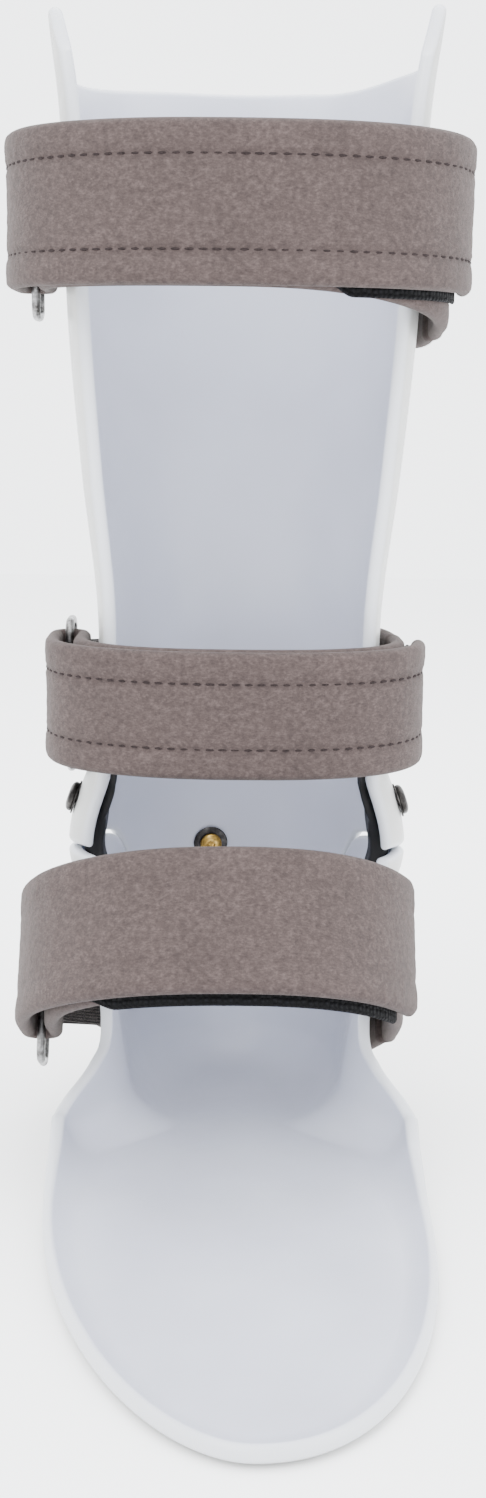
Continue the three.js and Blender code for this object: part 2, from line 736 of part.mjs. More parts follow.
// A rivet through a layer that ends at height "over" above the shell.
function rivetGeometry(over) {
  return turned([
    [0, -WALL - RIVET.tail], [RIVET.shank, -WALL - RIVET.tail], [RIVET.shank, over], [RIVET.head, over],
    [RIVET.head * 0.93, over + 0.9], [RIVET.head * 0.6, over + 1.6], [0, over + 1.9],
  ]);
}

function burrGeometry() {
  return ringSolid(RIVET.shank + GAP, RIVET.burr, -WALL - 2, -WALL - 0.9);
}

// The place of a rivet on the shell, and how far above the shell its layer ends.
function rivetSpot(closure, side, y, layerThick, clearance) {
  const spot = underClosure(closure, side, y, side > 0 ? -closure.droop : 0);
  const place = placeOnLeg(spot.u, spot.z);
  const shellX = Math.abs(legPoint(spot.u, spot.z).x);
  const layerX = shellReach(closure, side, y) + clearance + layerThick;
  return { place, over: (layerX - shellX) * Math.abs(outwardNormal(spot.u, spot.z).x) + 2 * GAP };
}

function addClosure(orthosis, closure, holes) {
  const { name } = closure;
  const group = new THREE.Group();
  closureMatrix(closure).decompose(group.position, group.quaternion, group.scale);
  const centre = ringCentre(closure);
  const chafeRivetY = centre.y + RING.length / 2 + closure.tab - CHAFE.rivetMargin;
  const anchor = rivetSpot(closure, 1, closure.rivet, STRAP_THICK, 3 * GAP);
  const chafe = rivetSpot(closure, -1, chafeRivetY, CHAFE.thick, 3 * GAP);
  group.add(mesh(`${name}_strap`, strapGeometry(closure, anchor.place), fabric));
  group.add(mesh(`${name}_strap_tail`, tailGeometry(closure), fabric));
  group.add(mesh(`${name}_hook_strip`, hookGeometry(closure), hookTape));
  group.add(mesh(`${name}_chafe_tab`, chafeGeometry(closure, chafe.place), webbing));
  const ring = mesh(`${name}_ring`, wireRingGeometry(closure), steel);
  ring.position.set(centre.x, centre.y, -RING.drop);
  group.add(ring);
  orthosis.add(group);
  for (const [role, spot] of [['anchor', anchor], ['chafe', chafe]]) {
    holes.push(drill(spot.place, RIVET.shank + GAP, -WALL * 2, WALL));
    orthosis.add(mesh(`${name}_${role}_rivet`, rivetGeometry(spot.over), darkMetal, spot.place));
    orthosis.add(mesh(`${name}_${role}_burr`, burrGeometry(), steel, spot.place));
  }
}

// ---------- assembly ----------

const orthosis = new THREE.Group();
const shellHoles = { upper: [], lower: [] };

addAnkleHinge(orthosis, 1, 'medial', shellHoles);
addAnkleHinge(orthosis, -1, 'lateral', shellHoles);
addPosteriorStop(orthosis, shellHoles);

for (const closure of CLOSURES) {
  addClosure(orthosis, closure, closure.name === 'instep' ? shellHoles.lower : shellHoles.upper);
}

orthosis.add(mesh('calf_shell', cut(calfShellGeometry(), shellHoles.upper), plastic));
orthosis.add(mesh('foot_shell', cut(footShellGeometry(), shellHoles.lower), plastic));

export default orthosis;
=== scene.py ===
"""Looks of the hinged ankle foot orthosis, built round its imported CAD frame.

Shapes are worked out in millimetres with +Z up, the toes along -Y and the medial side at +X,
and are turned into metres when a mesh is made.
"""

import json
import math
from types import SimpleNamespace as Sizes

import bmesh
import bpy
import numpy as np
from mathutils import Matrix, Vector, noise

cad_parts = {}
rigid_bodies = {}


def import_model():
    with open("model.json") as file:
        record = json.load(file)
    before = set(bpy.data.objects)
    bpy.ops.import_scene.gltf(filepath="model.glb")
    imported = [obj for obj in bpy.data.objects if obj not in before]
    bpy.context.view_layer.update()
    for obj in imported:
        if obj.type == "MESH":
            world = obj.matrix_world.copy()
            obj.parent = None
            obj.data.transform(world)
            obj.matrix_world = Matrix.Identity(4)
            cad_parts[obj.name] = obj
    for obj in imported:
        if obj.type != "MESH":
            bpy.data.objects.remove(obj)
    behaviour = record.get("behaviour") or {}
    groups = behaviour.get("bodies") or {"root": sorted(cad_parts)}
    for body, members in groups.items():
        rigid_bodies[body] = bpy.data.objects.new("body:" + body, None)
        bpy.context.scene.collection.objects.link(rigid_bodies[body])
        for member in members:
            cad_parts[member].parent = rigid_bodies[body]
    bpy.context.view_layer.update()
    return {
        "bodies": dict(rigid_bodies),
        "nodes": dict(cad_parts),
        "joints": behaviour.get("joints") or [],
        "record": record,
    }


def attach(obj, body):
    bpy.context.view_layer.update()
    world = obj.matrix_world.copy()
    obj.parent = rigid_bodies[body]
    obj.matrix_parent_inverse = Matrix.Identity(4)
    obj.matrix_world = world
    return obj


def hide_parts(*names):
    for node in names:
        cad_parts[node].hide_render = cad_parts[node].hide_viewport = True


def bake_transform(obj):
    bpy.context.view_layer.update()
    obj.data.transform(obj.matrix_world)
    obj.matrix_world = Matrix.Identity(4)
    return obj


MM = 0.001

# ---------- driving values: millimetres, degrees, and shares from 0 to 1 ----------

WALL = 4.0
ANKLE_Z = 88.0
GAP = 0.35
SHELL_TOP = Sizes(back=319.0, side=313.0, ear=15.0, medial_rise=5.0)
EAR = Sizes(at=0.88, half_width=0.15)
SPLIT = Sizes(back=63.0, gap=1.2, front_relief=1.5)
ANKLE_TRIM = 14.0
SIDE_U = 0.72
SECTION_POWER = 2.3
DOME = Sizes(height=7.0, reach_y=20.0, reach_up=30.0, reach_down=22.0, sharpness=1.2)
HEEL_RADIUS = 16.0
FOOT = Sizes(toe_y=-190.0, half_width=53.0, toe_x=3.0, blend_end=-44.0, flare=39.0)
FOOT_SPINE = (-130.0, 20.0)    # depths between which the middle line of the floor runs
RIM_BULGE = 1.2
FOOT_SIDES = {-1: {"widest_y": -62.0, "power": 1.85}, 1: {"widest_y": -76.0, "power": 2.15}}
FLEXURE = Sizes(half_length=24.0, end_half=10.0, waist_half=5.5, inner_x=39.6, least=3.0, screw_z=14.0,
                edge=1.6, hollow=1.1, hollow_reach=5.0, bend=9.0)
SCREW = Sizes(head=4.6, height=2.2, shank=2.0, depth=2.6, socket=1.5, washer=5.3, washer_top=0.62)
INSERT = Sizes(flange=4.6, thick=1.0, wall=1.0, sunk=1.0, edge=0.3)
STOP = Sizes(height=80.0, head=3.6, head_high=1.8, head_off=1.4, socket=1.3, shank=2.0, spare=3.4,
             washer=5.6, nut=4.2, nut_thick=2.8)
STOP_BLOCK = Sizes(top=90.0, thick=5.0, stand_off=0.6, width=24.0, reach_u=0.16, edge=1.4)
STRAP_THICK = 4.0
HOOK_THICK = 1.3
WIRE_RADIUS = 1.3
RING = Sizes(length=12.0, spare=9.0, drop=2.0, corner=3.5)
CHAFE = Sizes(thick=1.6, slack=0.9, width=26.0, rivet_margin=7.0, settled=0.4, wrap_from=0.62,
              layer_gap=0.12, upper_later=0.6, upper_short=1.5, upper_settled=6.0)
RIVET = Sizes(head=4.8, crown=1.75, shank=1.8, tail=2.8, burr=4.5)
HEM = 8.8            # distance of a stitch row from the strap's edge
STITCH = Sizes(length=2.7, pitch=3.5, radius=0.34, margin=7.0, proud=0.25)
SEAM_DEPTH = {"stitched": 0.62, "faint": 0.2}
PUFF = Sizes(height=0.30, from_row=4.6, half=3.2)
PUCKER = Sizes(height=0.10, half=2.2)
NAP = ((1.9, 0.16), (6.5, 0.14), (24.0, 0.22))    # size and height of each scale of unevenness
SMOOTH_NEAR_BAR = (3.0, 7.0)
FRONT_STEPS = 200
SIDE_STEPS = 24
DROOP = Sizes(side=6.0, front=30.0, gone=18.45)    # the end of each run along a strap, and of its droop
TAIL_BEND = Sizes(start=4.0, end=1.5)    # behind the ring's bar, and behind the strap's front corner
TEETH = Sizes(depth=0.16, along=2.6, across=2.2)
TAIL_STAND_OFF = STRAP_THICK + HOOK_THICK + 2 * GAP
FOLD_GAP = 2 * WIRE_RADIUS + 1.8
ANCHOR_MARGIN = 8.0
CAMERA = Sizes(at=(-4.5, -497.0, 198.0), pitch=9.2, yaw=0.7, roll=0.7, sensor=36.0, lens=39.701)
USUAL_CLOSURE = {"body": "calf", "power": 2.5, "ring_y": 2.0, "droop": 0.0, "hook_trim": 1 / 24,
                 "tail_trim": 0.0, "rivet": 14.0, "tab": 20.0, "stitched_tail": True}
CLOSURES = [Sizes(**(USUAL_CLOSURE | own)) for own in (
    {"name": "calf", "z": 272.0, "tilt": -3.5, "width": 41.0, "medial": 54.4, "lateral": 54.4,
     "front": 50.0, "corner": -8.0, "droop": 14.0, "hook_end": 0.625, "hook_low": 3.4,
     "hook_low_from": (0.41, 0.37)},
    {"name": "ankle", "z": 135.0, "tilt": -2.0, "width": 36.0, "medial": 44.8, "lateral": 44.8,
     "front": 35.0, "corner": -6.0, "hook_end": 0.575, "hook_low": 0.0, "hook_low_from": (1.0, 0.5)},
    {"name": "instep", "body": "foot", "z": 45.5, "tilt": 28.0, "width": 40.0, "medial": 45.4,
     "lateral": 52.5, "front": 72.0, "corner": -14.0, "power": 2.3, "ring_y": -6.0, "hook_end": 0.8,
     "hook_trim": 4 / 24, "tail_trim": 3 / 24, "tab": 26.0, "hook_low": 3.6,
     "hook_low_from": (0.74, 0.67), "stitched_tail": False},
)]

# ---------- small helpers ----------


def smoothstep(low, high, value):
    share = np.clip((value - low) / (high - low), 0, 1)
    return share * share * (3 - 2 * share)


def lerp(a, b, share):
    return a + (b - a) * share


def curve_through(pairs):
    """A smooth curve through [position, value] pairs, for arrays of positions."""
    at, value = np.array(pairs, float).T
    slope = np.empty(len(at))
    slope[1:-1] = (value[2:] - value[:-2]) / (at[2:] - at[:-2])
    slope[0] = (value[1] - value[0]) / (at[1] - at[0])
    slope[-1] = (value[-1] - value[-2]) / (at[-1] - at[-2])

    def evaluate(x):
        i = np.clip(np.searchsorted(at, x, side="right") - 1, 0, len(at) - 2)
        step = at[i + 1] - at[i]
        p = np.clip((x - at[i]) / step, 0, 1)
        start = (1 + 2 * p) * (1 - p) ** 2 * value[i] + p * (1 - p) ** 2 * step * slope[i]
        return start + p * p * (3 - 2 * p) * value[i + 1] + p * p * (p - 1) * step * slope[i + 1]

    return evaluate


def unit(vectors):
    return vectors / np.maximum(np.linalg.norm(vectors, axis=-1, keepdims=True), 1e-12)


def spokes(angles):
    """Unit arrows in a plane at the given angles."""
    return np.column_stack([np.cos(angles), np.sin(angles)])


def edge_rounded(half, radius, distance):
    """Half thickness of a sheet at a distance from its edge, with the edge rounded to a radius."""
    short = radius - np.clip(distance, 0, radius)
    return half - radius + np.sqrt(np.maximum(radius**2 - short**2, 0))


def rounded_steps(radius, count=5):
    """Distances from an edge at which a rounding needs points."""
    return radius * (1 - np.cos(np.linspace(0, math.pi / 2, count + 1)))


def between_edges(length, radius, spacing):
    """Positions from 0 to length, close together where both ends are rounded."""
    ends = rounded_steps(radius)
    count = max(2, int(round((length - 2 * radius) / spacing)))
    middle = np.linspace(radius, length - radius, count + 1)[1:-1]
    return np.concatenate([ends, middle, (length - ends)[::-1]])


# ---------- meshes ----------


def grid_faces(index):
    """Quads of a grid of point numbers."""
    a, b, c, d = index[:-1, :-1], index[:-1, 1:], index[1:, 1:], index[1:, :-1]
    return np.stack([a, b, c, d], axis=-1).reshape(-1, 4).tolist()


def sheet(outer, inner):
    """Points and faces of a closed sheet between two grids of points."""
    rows, columns = outer.shape[:2]
    size = rows * columns
    index = np.arange(size).reshape(rows, columns)
    faces = grid_faces(index) + grid_faces(index[:, ::-1] + size)
    rim = [*index[0, :], *index[1:, -1], *index[-1, -2::-1], *index[-2:0:-1, 0]]
    for here, there in zip(rim, rim[1:] + rim[:1]):
        faces.append([there, here, here + size, there + size])
    return np.concatenate([outer.reshape(-1, 3), inner.reshape(-1, 3)]), faces


def loft(sections, closed=False):
    """Points and faces along a row of closed sections, capped at both ends unless it closes on itself."""
    count, sides = sections.shape[:2]
    index = np.arange(count * sides).reshape(count, sides)
    index = np.concatenate([index, index[:, :1]], axis=1)
    if closed:
        index = np.concatenate([index, index[:1]])
    faces = grid_faces(index)
    if not closed:
        faces += [index[0, -2::-1].tolist(), index[-1, :-1].tolist()]
    return sections.reshape(-1, 3), faces


def welded(points, faces, marks):
    """Joins points that coincide and drops the faces that this closes up."""
    keys = np.round(points, 4)
    _, first, same = np.unique(keys, axis=0, return_index=True, return_inverse=True)
    same = same.reshape(-1)
    kept = []
    for face in faces:
        ring = [int(same[i]) for i in face]
        ring = [point for k, point in enumerate(ring) if point != ring[k - 1]]
        if len(set(ring)) > 2 and len(set(ring)) == len(ring):
            kept.append(ring)
    return points[first], kept, {name: values[first] for name, values in marks.items()}


def put_in_scene(name, data):
    obj = bpy.data.objects.new(name, data)
    bpy.context.scene.collection.objects.link(obj)
    return obj


def solid(name, points, faces, look, sharp_angle=50, **marks):
    """A closed, smooth-shaded object; marks are values for each point that its material reads."""
    points, faces, marks = welded(np.asarray(points, float), faces, marks)
    mesh = bpy.data.meshes.new(name)
    mesh.from_pydata((points * MM).tolist(), [], faces)
    for mark, values in marks.items():
        kind = "FLOAT_VECTOR" if values.ndim == 2 else "FLOAT"
        layer = mesh.attributes.new(mark, kind, "POINT")
        field = "vector" if values.ndim == 2 else "value"
        layer.data.foreach_set(field, values.astype(np.float32).reshape(-1))
    shape = bmesh.new()
    shape.from_mesh(mesh)
    if shape.calc_volume(signed=True) < 0:
        bmesh.ops.reverse_faces(shape, faces=shape.faces)
    shape.to_mesh(mesh)
    shape.free()
    mesh.polygons.foreach_set("use_smooth", [True] * len(mesh.polygons))
    mesh.set_sharp_from_angle(angle=math.radians(sharp_angle))
    mesh.materials.append(look)
    return put_in_scene(name, mesh)


def placed(points, matrix):
    """Points moved by a 4x4 matrix."""
    matrix = np.array(matrix)
    return points @ matrix[:3, :3].T + matrix[:3, 3]


def ripple(points, size, depth, seed):
    """Smooth noise for each point, features about size across."""
    offset = Vector((seed * 17.3, seed * 5.1, seed * 9.7))
    spots = points.reshape(-1, 3).tolist()
    return depth * np.array([noise.noise(Vector(spot) / size + offset) for spot in spots])


def join_piece(obj, body, slot, *nodes):
    """Rides on a body and stands for CAD nodes, which it hides; the slot is not used."""
    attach(obj, body)
    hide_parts(*nodes)


# ---------- the shape of the leg ----------

half_width = curve_through([
    (0, 32), (16, 37), (50, 42), (88, 44.5), (125, 42.6), (160, 42.4),
    (200, 47), (245, 51), (300, 53), (332, 57),
])
back_depth = curve_through([
    (0, 47), (16, 51), (40, 51.5), (70, 47), (100, 43), (150, 41.5),
    (200, 46), (250, 51), (300, 54), (332, 57),
])
front_trim = curve_through([
    (0, ANKLE_TRIM), (50, ANKLE_TRIM), (92, ANKLE_TRIM), (110, 15.5),
    (140, 19), (240, 23), (300, 20), (332, 15),
])
lip_height = curve_through([
    (-190, 0.9), (-150, 1.6), (-110, 2.4), (-82, 3.6), (-65, 7), (-48, 13.5),
    (-35, 21), (-26, 28), (-20, 37), (-17, 60), (-14, ANKLE_Z - 1.4),
])


def dome(y, z):
    """Outward bulge over the flexure joint."""
    reach_z = np.where(z > ANKLE_Z, DOME.reach_up, DOME.reach_down)
    reach = np.hypot(y / DOME.reach_y, (z - ANKLE_Z) / reach_z)
    return DOME.height * np.cos(math.pi / 2 * np.minimum(1, reach)) ** DOME.sharpness


def leg_point(u, z):
    """Outer face of the leg; u is -1 at the lateral trim, 0 at the back and 1 at the medial trim."""
    u, z = np.broadcast_arrays(np.asarray(u, float), np.asarray(z, float))
    share = np.abs(u)
    width = half_width(z)
    angle = math.pi / 2 * np.minimum(share / SIDE_U, 1)
    behind = share <= SIDE_U
    round_x = width * np.sin(angle) ** (2 / SECTION_POWER)
    round_y = back_depth(z) * np.maximum(np.cos(angle), 0) ** (2 / SECTION_POWER)
    side_y = -front_trim(z) * (share - SIDE_U) / (1 - SIDE_U)
    side_x = width * (1 - 0.45 * (side_y / 50) ** 2)
    y = np.where(behind, round_y, side_y)
    x = np.where(behind, round_x, side_x) + dome(y, z)
    return np.stack([np.sign(u) * x, y, z], axis=-1)


def leg_normal(u, z, step=1e-3):
    along = leg_point(u + step, z) - leg_point(u - step, z)
    up = leg_point(u, z + step) - leg_point(u, z - step)
    normal = unit(np.cross(along, up))
    point = leg_point(u, z)
    outwards = normal[..., 0] * point[..., 0] + normal[..., 1] * point[..., 1]
    return np.where(outwards[..., None] < 0, -normal, normal)


def split_height(u):
    return lerp(SPLIT.back, ANKLE_Z, smoothstep(0.30, 0.56, np.abs(u)))


def split_half_gap(u):
    return SPLIT.gap / 2 + SPLIT.front_relief / 2 * smoothstep(SIDE_U, 1, np.abs(u))


def station_at(side, y, z):
    """The parameter u on one side where the outer face at height z lies at depth y."""
    low, high = 0.0, 1.0
    for _ in range(40):
        middle = (low + high) / 2
        if leg_point(side * middle, z)[1] > y:
            low = middle
        else:
            high = middle
    return side * (low + high) / 2


def place_on_leg(u, z):
    """A frame on the outer face of the shell whose local Z points out of it."""
    normal = Vector(leg_normal(u, z))
    turn = Vector((0, 0, 1)).rotation_difference(normal)
    return Matrix.Translation(Vector(leg_point(u, z))) @ turn.to_matrix().to_4x4()


def leg_sheet(u, z, offset, half):
    """A closed sheet that follows the leg, from its half thickness and how far out its middle lies."""
    normal = leg_normal(u, z)
    middle = leg_point(u, z) + normal * offset
    middle[..., 2] = z
    half = half[..., None]
    return sheet(middle + normal * half, middle - normal * half)


# ---------- materials ----------


def new_look(name):
    look = bpy.data.materials.new(name)
    look.use_nodes = True
    return look, look.node_tree, look.node_tree.nodes["Principled BSDF"]


def feed(tree, target, value):
    """Links a socket to an input, or sets the input to a plain value."""
    if isinstance(value, bpy.types.NodeSocket):
        tree.links.new(value, target)
    else:
        target.default_value = value


def settle(tree, node, **values):
    """Sets a node's own settings and feeds its inputs, which are named with _ for a space."""
    for key, value in values.items():
        if hasattr(node, key):
            setattr(node, key, value)
        else:
            feed(tree, node.inputs[key.replace("_", " ")], value)
    return node


def add(tree, kind, **values):
    return settle(tree, tree.nodes.new("ShaderNode" + kind), **values)


def srgb(red, green, blue):
    """A colour given in 0 to 255 steps, as linear light."""
    steps = [value / 255 for value in (red, green, blue)]
    return [*[s / 12.92 if s <= 0.04045 else ((s + 0.055) / 1.055) ** 2.4 for s in steps], 1.0]


def attribute(tree, name, output="Fac"):
    return add(tree, "Attribute", attribute_name=name).outputs[output]


def place(tree):
    return add(tree, "TexCoord").outputs["Object"]


def speckle(tree, where, scale, detail=4.0, roughness=0.6, distortion=0.0):
    """Noise from 0 to 1."""
    made = add(tree, "TexNoise", Vector=where, Scale=scale, Detail=detail, Roughness=roughness,
               Distortion=distortion)
    return made.outputs["Fac"]


def ramp(tree, value, *stops):
    """Shades between positions; a stop is (position, grey) or (position, (red, green, blue) to 255)."""
    made = add(tree, "ValToRGB", Fac=value)
    elements = made.color_ramp.elements
    while len(elements) < len(stops):
        elements.new(1.0)
    for element, (position, shade) in zip(elements, stops):
        element.position = position
        element.color = srgb(*shade) if isinstance(shade, tuple) else (shade, shade, shade, 1.0)
    return made.outputs["Color"]


def blend_colours(tree, factor, first, second, mode="MIX"):
    """Mixes two colours or sockets by a number or a socket."""
    made = add(tree, "Mix", data_type="RGBA", blend_type=mode)
    for socket, value in (("Factor_Float", factor), ("A_Color", first), ("B_Color", second)):
        feed(tree, next(s for s in made.inputs if s.identifier == socket), value)
    return next(s for s in made.outputs if s.identifier == "Result_Color")


def sums(tree, operation, first, second):
    made = add(tree, "Math", operation=operation)
    for target, value in zip(made.inputs, (first, second)):
        feed(tree, target, value)
    return made.outputs["Value"]


def bump(tree, shader, height, strength, distance, under=None):
    """Bends the shading by a height, on top of another bump where one is given."""
    made = add(tree, "Bump", Strength=strength, Distance=distance, Height=height)
    if under is not None:
        feed(tree, made.inputs["Normal"], under)
    feed(tree, shader.inputs["Normal"], made.outputs["Normal"])
    return made.outputs["Normal"]


def plastic_look():
    """Natural polypropylene, milky, with painted light: the inner face in a lighter, cooler tone, the outer
    face in a darker, warmer one, and a painted highlight on the trim edges.
    """
    look, tree, shader = new_look("natural_polypropylene")
    where = place(tree)
    cloud = speckle(tree, where, 14.0, 3.0)
    # painted light: the inner face gets a lighter, cooler tone and the outer face a darker, warmer one, for
    # how light falls on each
    inside = ramp(tree, cloud, (0.3, (168, 170, 183)), (0.7, (180, 183, 195)))
    outside = ramp(tree, cloud, (0.3, (160, 160, 158)), (0.7, (172, 172, 170)))
    colour = blend_colours(tree, attribute(tree, "lining"), outside, inside)
    # painted highlight along the trim edges
    rim = blend_colours(tree, attribute(tree, "rim"), colour, srgb(188, 190, 195))
    scuffs = speckle(tree, where, 90.0, 8.0, 0.75, 1.5)
    settle(tree, shader, Base_Color=rim, Roughness=ramp(tree, scuffs, (0.35, 0.28), (0.7, 0.46)),
           Subsurface_Weight=0.25, Subsurface_Radius=(0.006, 0.0065, 0.007), Subsurface_Scale=1.0,
           IOR=1.49, Coat_Weight=0.08, Coat_Roughness=0.25)
    peel = speckle(tree, where, 260.0, 2.0, 0.4)
    draw = speckle(tree, where, 42.0, 2.0)
    under = bump(tree, shader, draw, 0.25, 0.0006)
    bump(tree, shader, peel, 0.18, 0.00012, under)
    return look


def fabric_look():
    """Brushed loop fabric over foam: heathered fibres, a soft nap and painted shade darkening the sunk
    stitch rows.
    """
    look, tree, shader = new_look("loop_fabric")
    lay = attribute(tree, "lay", "Vector")
    stretched = add(tree, "Mapping", vector_type="POINT", Scale=(0.55, 1.0, 1.0), Vector=lay)
    fibres = speckle(tree, stretched.outputs["Vector"], 1900.0, 6.0, 0.75)
    clumps = speckle(tree, lay, 620.0, 4.0, 0.65)
    patches = speckle(tree, lay, 45.0, 3.0, 0.5)
    heather = sums(tree, "ADD", sums(tree, "MULTIPLY", fibres, 0.5), sums(tree, "MULTIPLY", clumps, 0.5))
    colour = ramp(tree, heather, (0.36, (46, 37, 36)), (0.5, (62, 52, 50)), (0.64, (79, 68, 66)))
    shaded = ramp(tree, patches, (0.3, 0.86), (0.7, 1.0))
    colour = blend_colours(tree, 1.0, colour, shaded, "MULTIPLY")
    # painted shade: the sunk stitch rows are darkened
    colour = blend_colours(tree, attribute(tree, "seam"), colour, srgb(34, 26, 26))
    settle(tree, shader, Base_Color=colour, Roughness=ramp(tree, clumps, (0.3, 0.86), (0.7, 0.98)),
           Specular_IOR_Level=0.25, Sheen_Weight=0.12, Sheen_Roughness=0.45,
           Sheen_Tint=srgb(200, 196, 192))
    under = bump(tree, shader, clumps, 0.5, 0.0004)
    bump(tree, shader, fibres, 0.65, 0.0003, under)
    return look


def thread_look():
    look, tree, shader = new_look("stitching_thread")
    twist = speckle(tree, place(tree), 2200.0, 2.0)
    colour = ramp(tree, twist, (0.35, (26, 20, 20)), (0.65, (40, 32, 32)))
    settle(tree, shader, Base_Color=colour, Roughness=0.9, Specular_IOR_Level=0.15)
    bump(tree, shader, twist, 0.4, 0.0001)
    return look


def hook_look():
    """Rows of small stiff hooks on a dark woven tape."""
    look, tree, shader = new_look("hook_tape")
    lay = attribute(tree, "lay", "Vector")
    rows = add(tree, "TexVoronoi", Scale=620.0, Randomness=0.35, Vector=lay).outputs["Distance"]
    colour = ramp(tree, rows, (0.15, (15, 15, 18)), (0.55, (3, 3, 4)))
    settle(tree, shader, Base_Color=colour, Roughness=0.8, Specular_IOR_Level=0.12)
    bump(tree, shader, ramp(tree, rows, (0.1, 1.0), (0.6, 0.0)), 0.9, 0.0009)
    return look


def wave(tree, where, direction, scale, distortion):
    made = add(tree, "TexWave", wave_type="BANDS", bands_direction=direction, Scale=scale,
               Distortion=distortion, Vector=where)
    return made.outputs["Fac"]


def webbing_look():
    """Flat woven webbing with ribs along its length and picks across it."""
    look, tree, shader = new_look("woven_webbing")
    lay = attribute(tree, "lay", "Vector")
    ribs = wave(tree, lay, "Y", 330.0, 0.4)
    picks = wave(tree, lay, "X", 520.0, 0.6)
    cloth = sums(tree, "MULTIPLY", ribs, sums(tree, "ADD", picks, 0.4))
    colour = ramp(tree, cloth, (0.05, (30, 26, 26)), (0.9, (66, 58, 57)))
    settle(tree, shader, Base_Color=colour, Roughness=0.85, Sheen_Weight=0.15)
    bump(tree, shader, cloth, 0.9, 0.0005)
    return look


def metal_look(name, rough, grime, dull, bright):
    """Turned metal with fine scratches and tarnish in patches."""
    look, tree, shader = new_look(name)
    where = place(tree)
    tarnish = speckle(tree, where, 320.0, 5.0, 0.65)
    scratches = speckle(tree, where, 1400.0, 3.0, 0.5, 3.0)
    colour = ramp(tree, tarnish, (0.32, grime), (0.5, dull), (0.68, bright))
    roughness = ramp(tree, tarnish, (0.3, rough + 0.22), (0.7, rough))
    settle(tree, shader, Base_Color=colour, Roughness=roughness, Metallic=1.0)
    bump(tree, shader, scratches, 0.12, 0.0001)
    return look


def rubber_look():
    """Moulded black elastomer, matt, with a dusty bloom."""
    look, tree, shader = new_look("moulded_elastomer")
    where = place(tree)
    bloom = speckle(tree, where, 240.0, 6.0, 0.7)
    colour = ramp(tree, bloom, (0.35, (8, 8, 9)), (0.7, (22, 22, 24)))
    roughness = ramp(tree, bloom, (0.3, 0.5), (0.7, 0.72))
    settle(tree, shader, Base_Color=colour, Roughness=roughness, Specular_IOR_Level=0.25)
    bump(tree, shader, speckle(tree, where, 1700.0, 3.0), 0.3, 0.0001)
    return look


def floor_look():
    look, tree, shader = new_look("studio_floor")
    colour = ramp(tree, speckle(tree, place(tree), 3.0, 2.0), (0.0, 0.93), (1.0, 0.95))
    settle(tree, shader, Base_Color=colour, Roughness=0.9)
    return look


LOOKS = {
    "plastic": plastic_look(),
    "strap": fabric_look(),
    "thread": thread_look(),
    "hook": hook_look(),
    "webbing": webbing_look(),
    "steel": metal_look("nickel_plated_steel", 0.24, (58, 55, 53), (126, 125, 125), (172, 171, 172)),
    "dark": metal_look("blackened_steel", 0.34, (24, 23, 23), (52, 50, 49), (82, 80, 78)),
    "brass": metal_look("brass", 0.24, (84, 66, 34), (176, 142, 74), (219, 190, 116)),
    "rubber": rubber_look(),
    "floor": floor_look(),
}
METAL_SLOTS = {"steel": "steel", "dark": "dark_metal", "brass": "brass"}

# ---------- shells ----------


def top_height(u):
    """Upper trim of the calf shell, with a soft ear near each front corner."""
    share = np.abs(u)
    reach = np.minimum(1, np.abs(share - EAR.at) / EAR.half_width)
    ear = np.cos(math.pi / 2 * reach) ** 2
    edge = lerp(SHELL_TOP.back, SHELL_TOP.side, smoothstep(0.1, SIDE_U, share))
    rise = smoothstep(0.2, 0.55, u) * (1 - smoothstep(0.8, 0.95, u))
    return edge + SHELL_TOP.ear * ear + SHELL_TOP.medial_rise * rise


def make_calf_shell():
    half, trim_depth, height = WALL / 2, 18.0, 235.0
    near_edge = rounded_steps(half) * (1 - SIDE_U) / trim_depth
    side = np.concatenate([np.linspace(0, 1 - near_edge[-1], 76)[:-1], 1 - near_edge[::-1]])
    u = np.concatenate([-side[:0:-1], side])
    v = between_edges(1.0, half / height, 0.012)
    u, v = np.meshgrid(u, v)
    low = split_height(u) + split_half_gap(u)
    high = top_height(u)
    z = lerp(low, high, v)
    to_side = front_trim(z) * (1 - np.abs(u)) / (1 - SIDE_U)
    to_ends = np.minimum(v, 1 - v) * (high - low)
    distance = np.minimum(to_side, to_ends)
    points, faces = leg_sheet(u, z, -half, edge_rounded(half, half, distance))
    # marks where the trim edges get a painted highlight
    rim = np.tile(1 - smoothstep(0, 2.4, distance).reshape(-1), 2)
    # marks the inner face, which is painted a lighter, cooler tone as painted light
    lining = np.repeat([0.0, 1.0], u.size)
    obj = solid("calf_shell_moulded", points, faces, LOOKS["plastic"], lining=lining, rim=rim)
    join_piece(obj, "calf", "polypropylene", "calf_shell")


def foot_stations(side):
    """Stations round half of the foot shell: each is its top height and its plan point at each height."""
    shape = FOOT_SIDES[side]
    stations = []
    for u in np.linspace(0, 1, 64):
        top = float(split_height(u) - split_half_gap(u))
        stations.append((top, lambda z, u=u: leg_point(side * max(u, 1e-6), z)[..., :2]))
    leg_edge = lambda z: np.abs(leg_point(1, z)[..., 0])
    for y in -ANKLE_TRIM - FOOT.flare * np.linspace(0, 1, 34)[1:] ** 1.5:
        spread = smoothstep(ANKLE_TRIM, -FOOT.blend_end, -y)

        def plan(z, y=y, spread=spread):
            x = side * lerp(leg_edge(z), FOOT.half_width, spread)
            return np.stack([x, np.full_like(x, y)], axis=-1)

        stations.append((float(lip_height(y)), plan))
    toe_length = shape["widest_y"] - FOOT.toe_y
    for angle in np.linspace(math.pi / 2, 0, 56):
        forward = max(math.cos(angle), 0) ** (2 / shape["power"])
        y = shape["widest_y"] - toe_length * forward
        across = math.sin(angle) ** (2 / shape["power"])
        x = side * FOOT.half_width * across + FOOT.toe_x * forward**2
        spot = np.array([x, y])
        stations.append((float(lip_height(y)), lambda z, spot=spot: spot + np.zeros((*np.shape(z), 2))))
    return stations


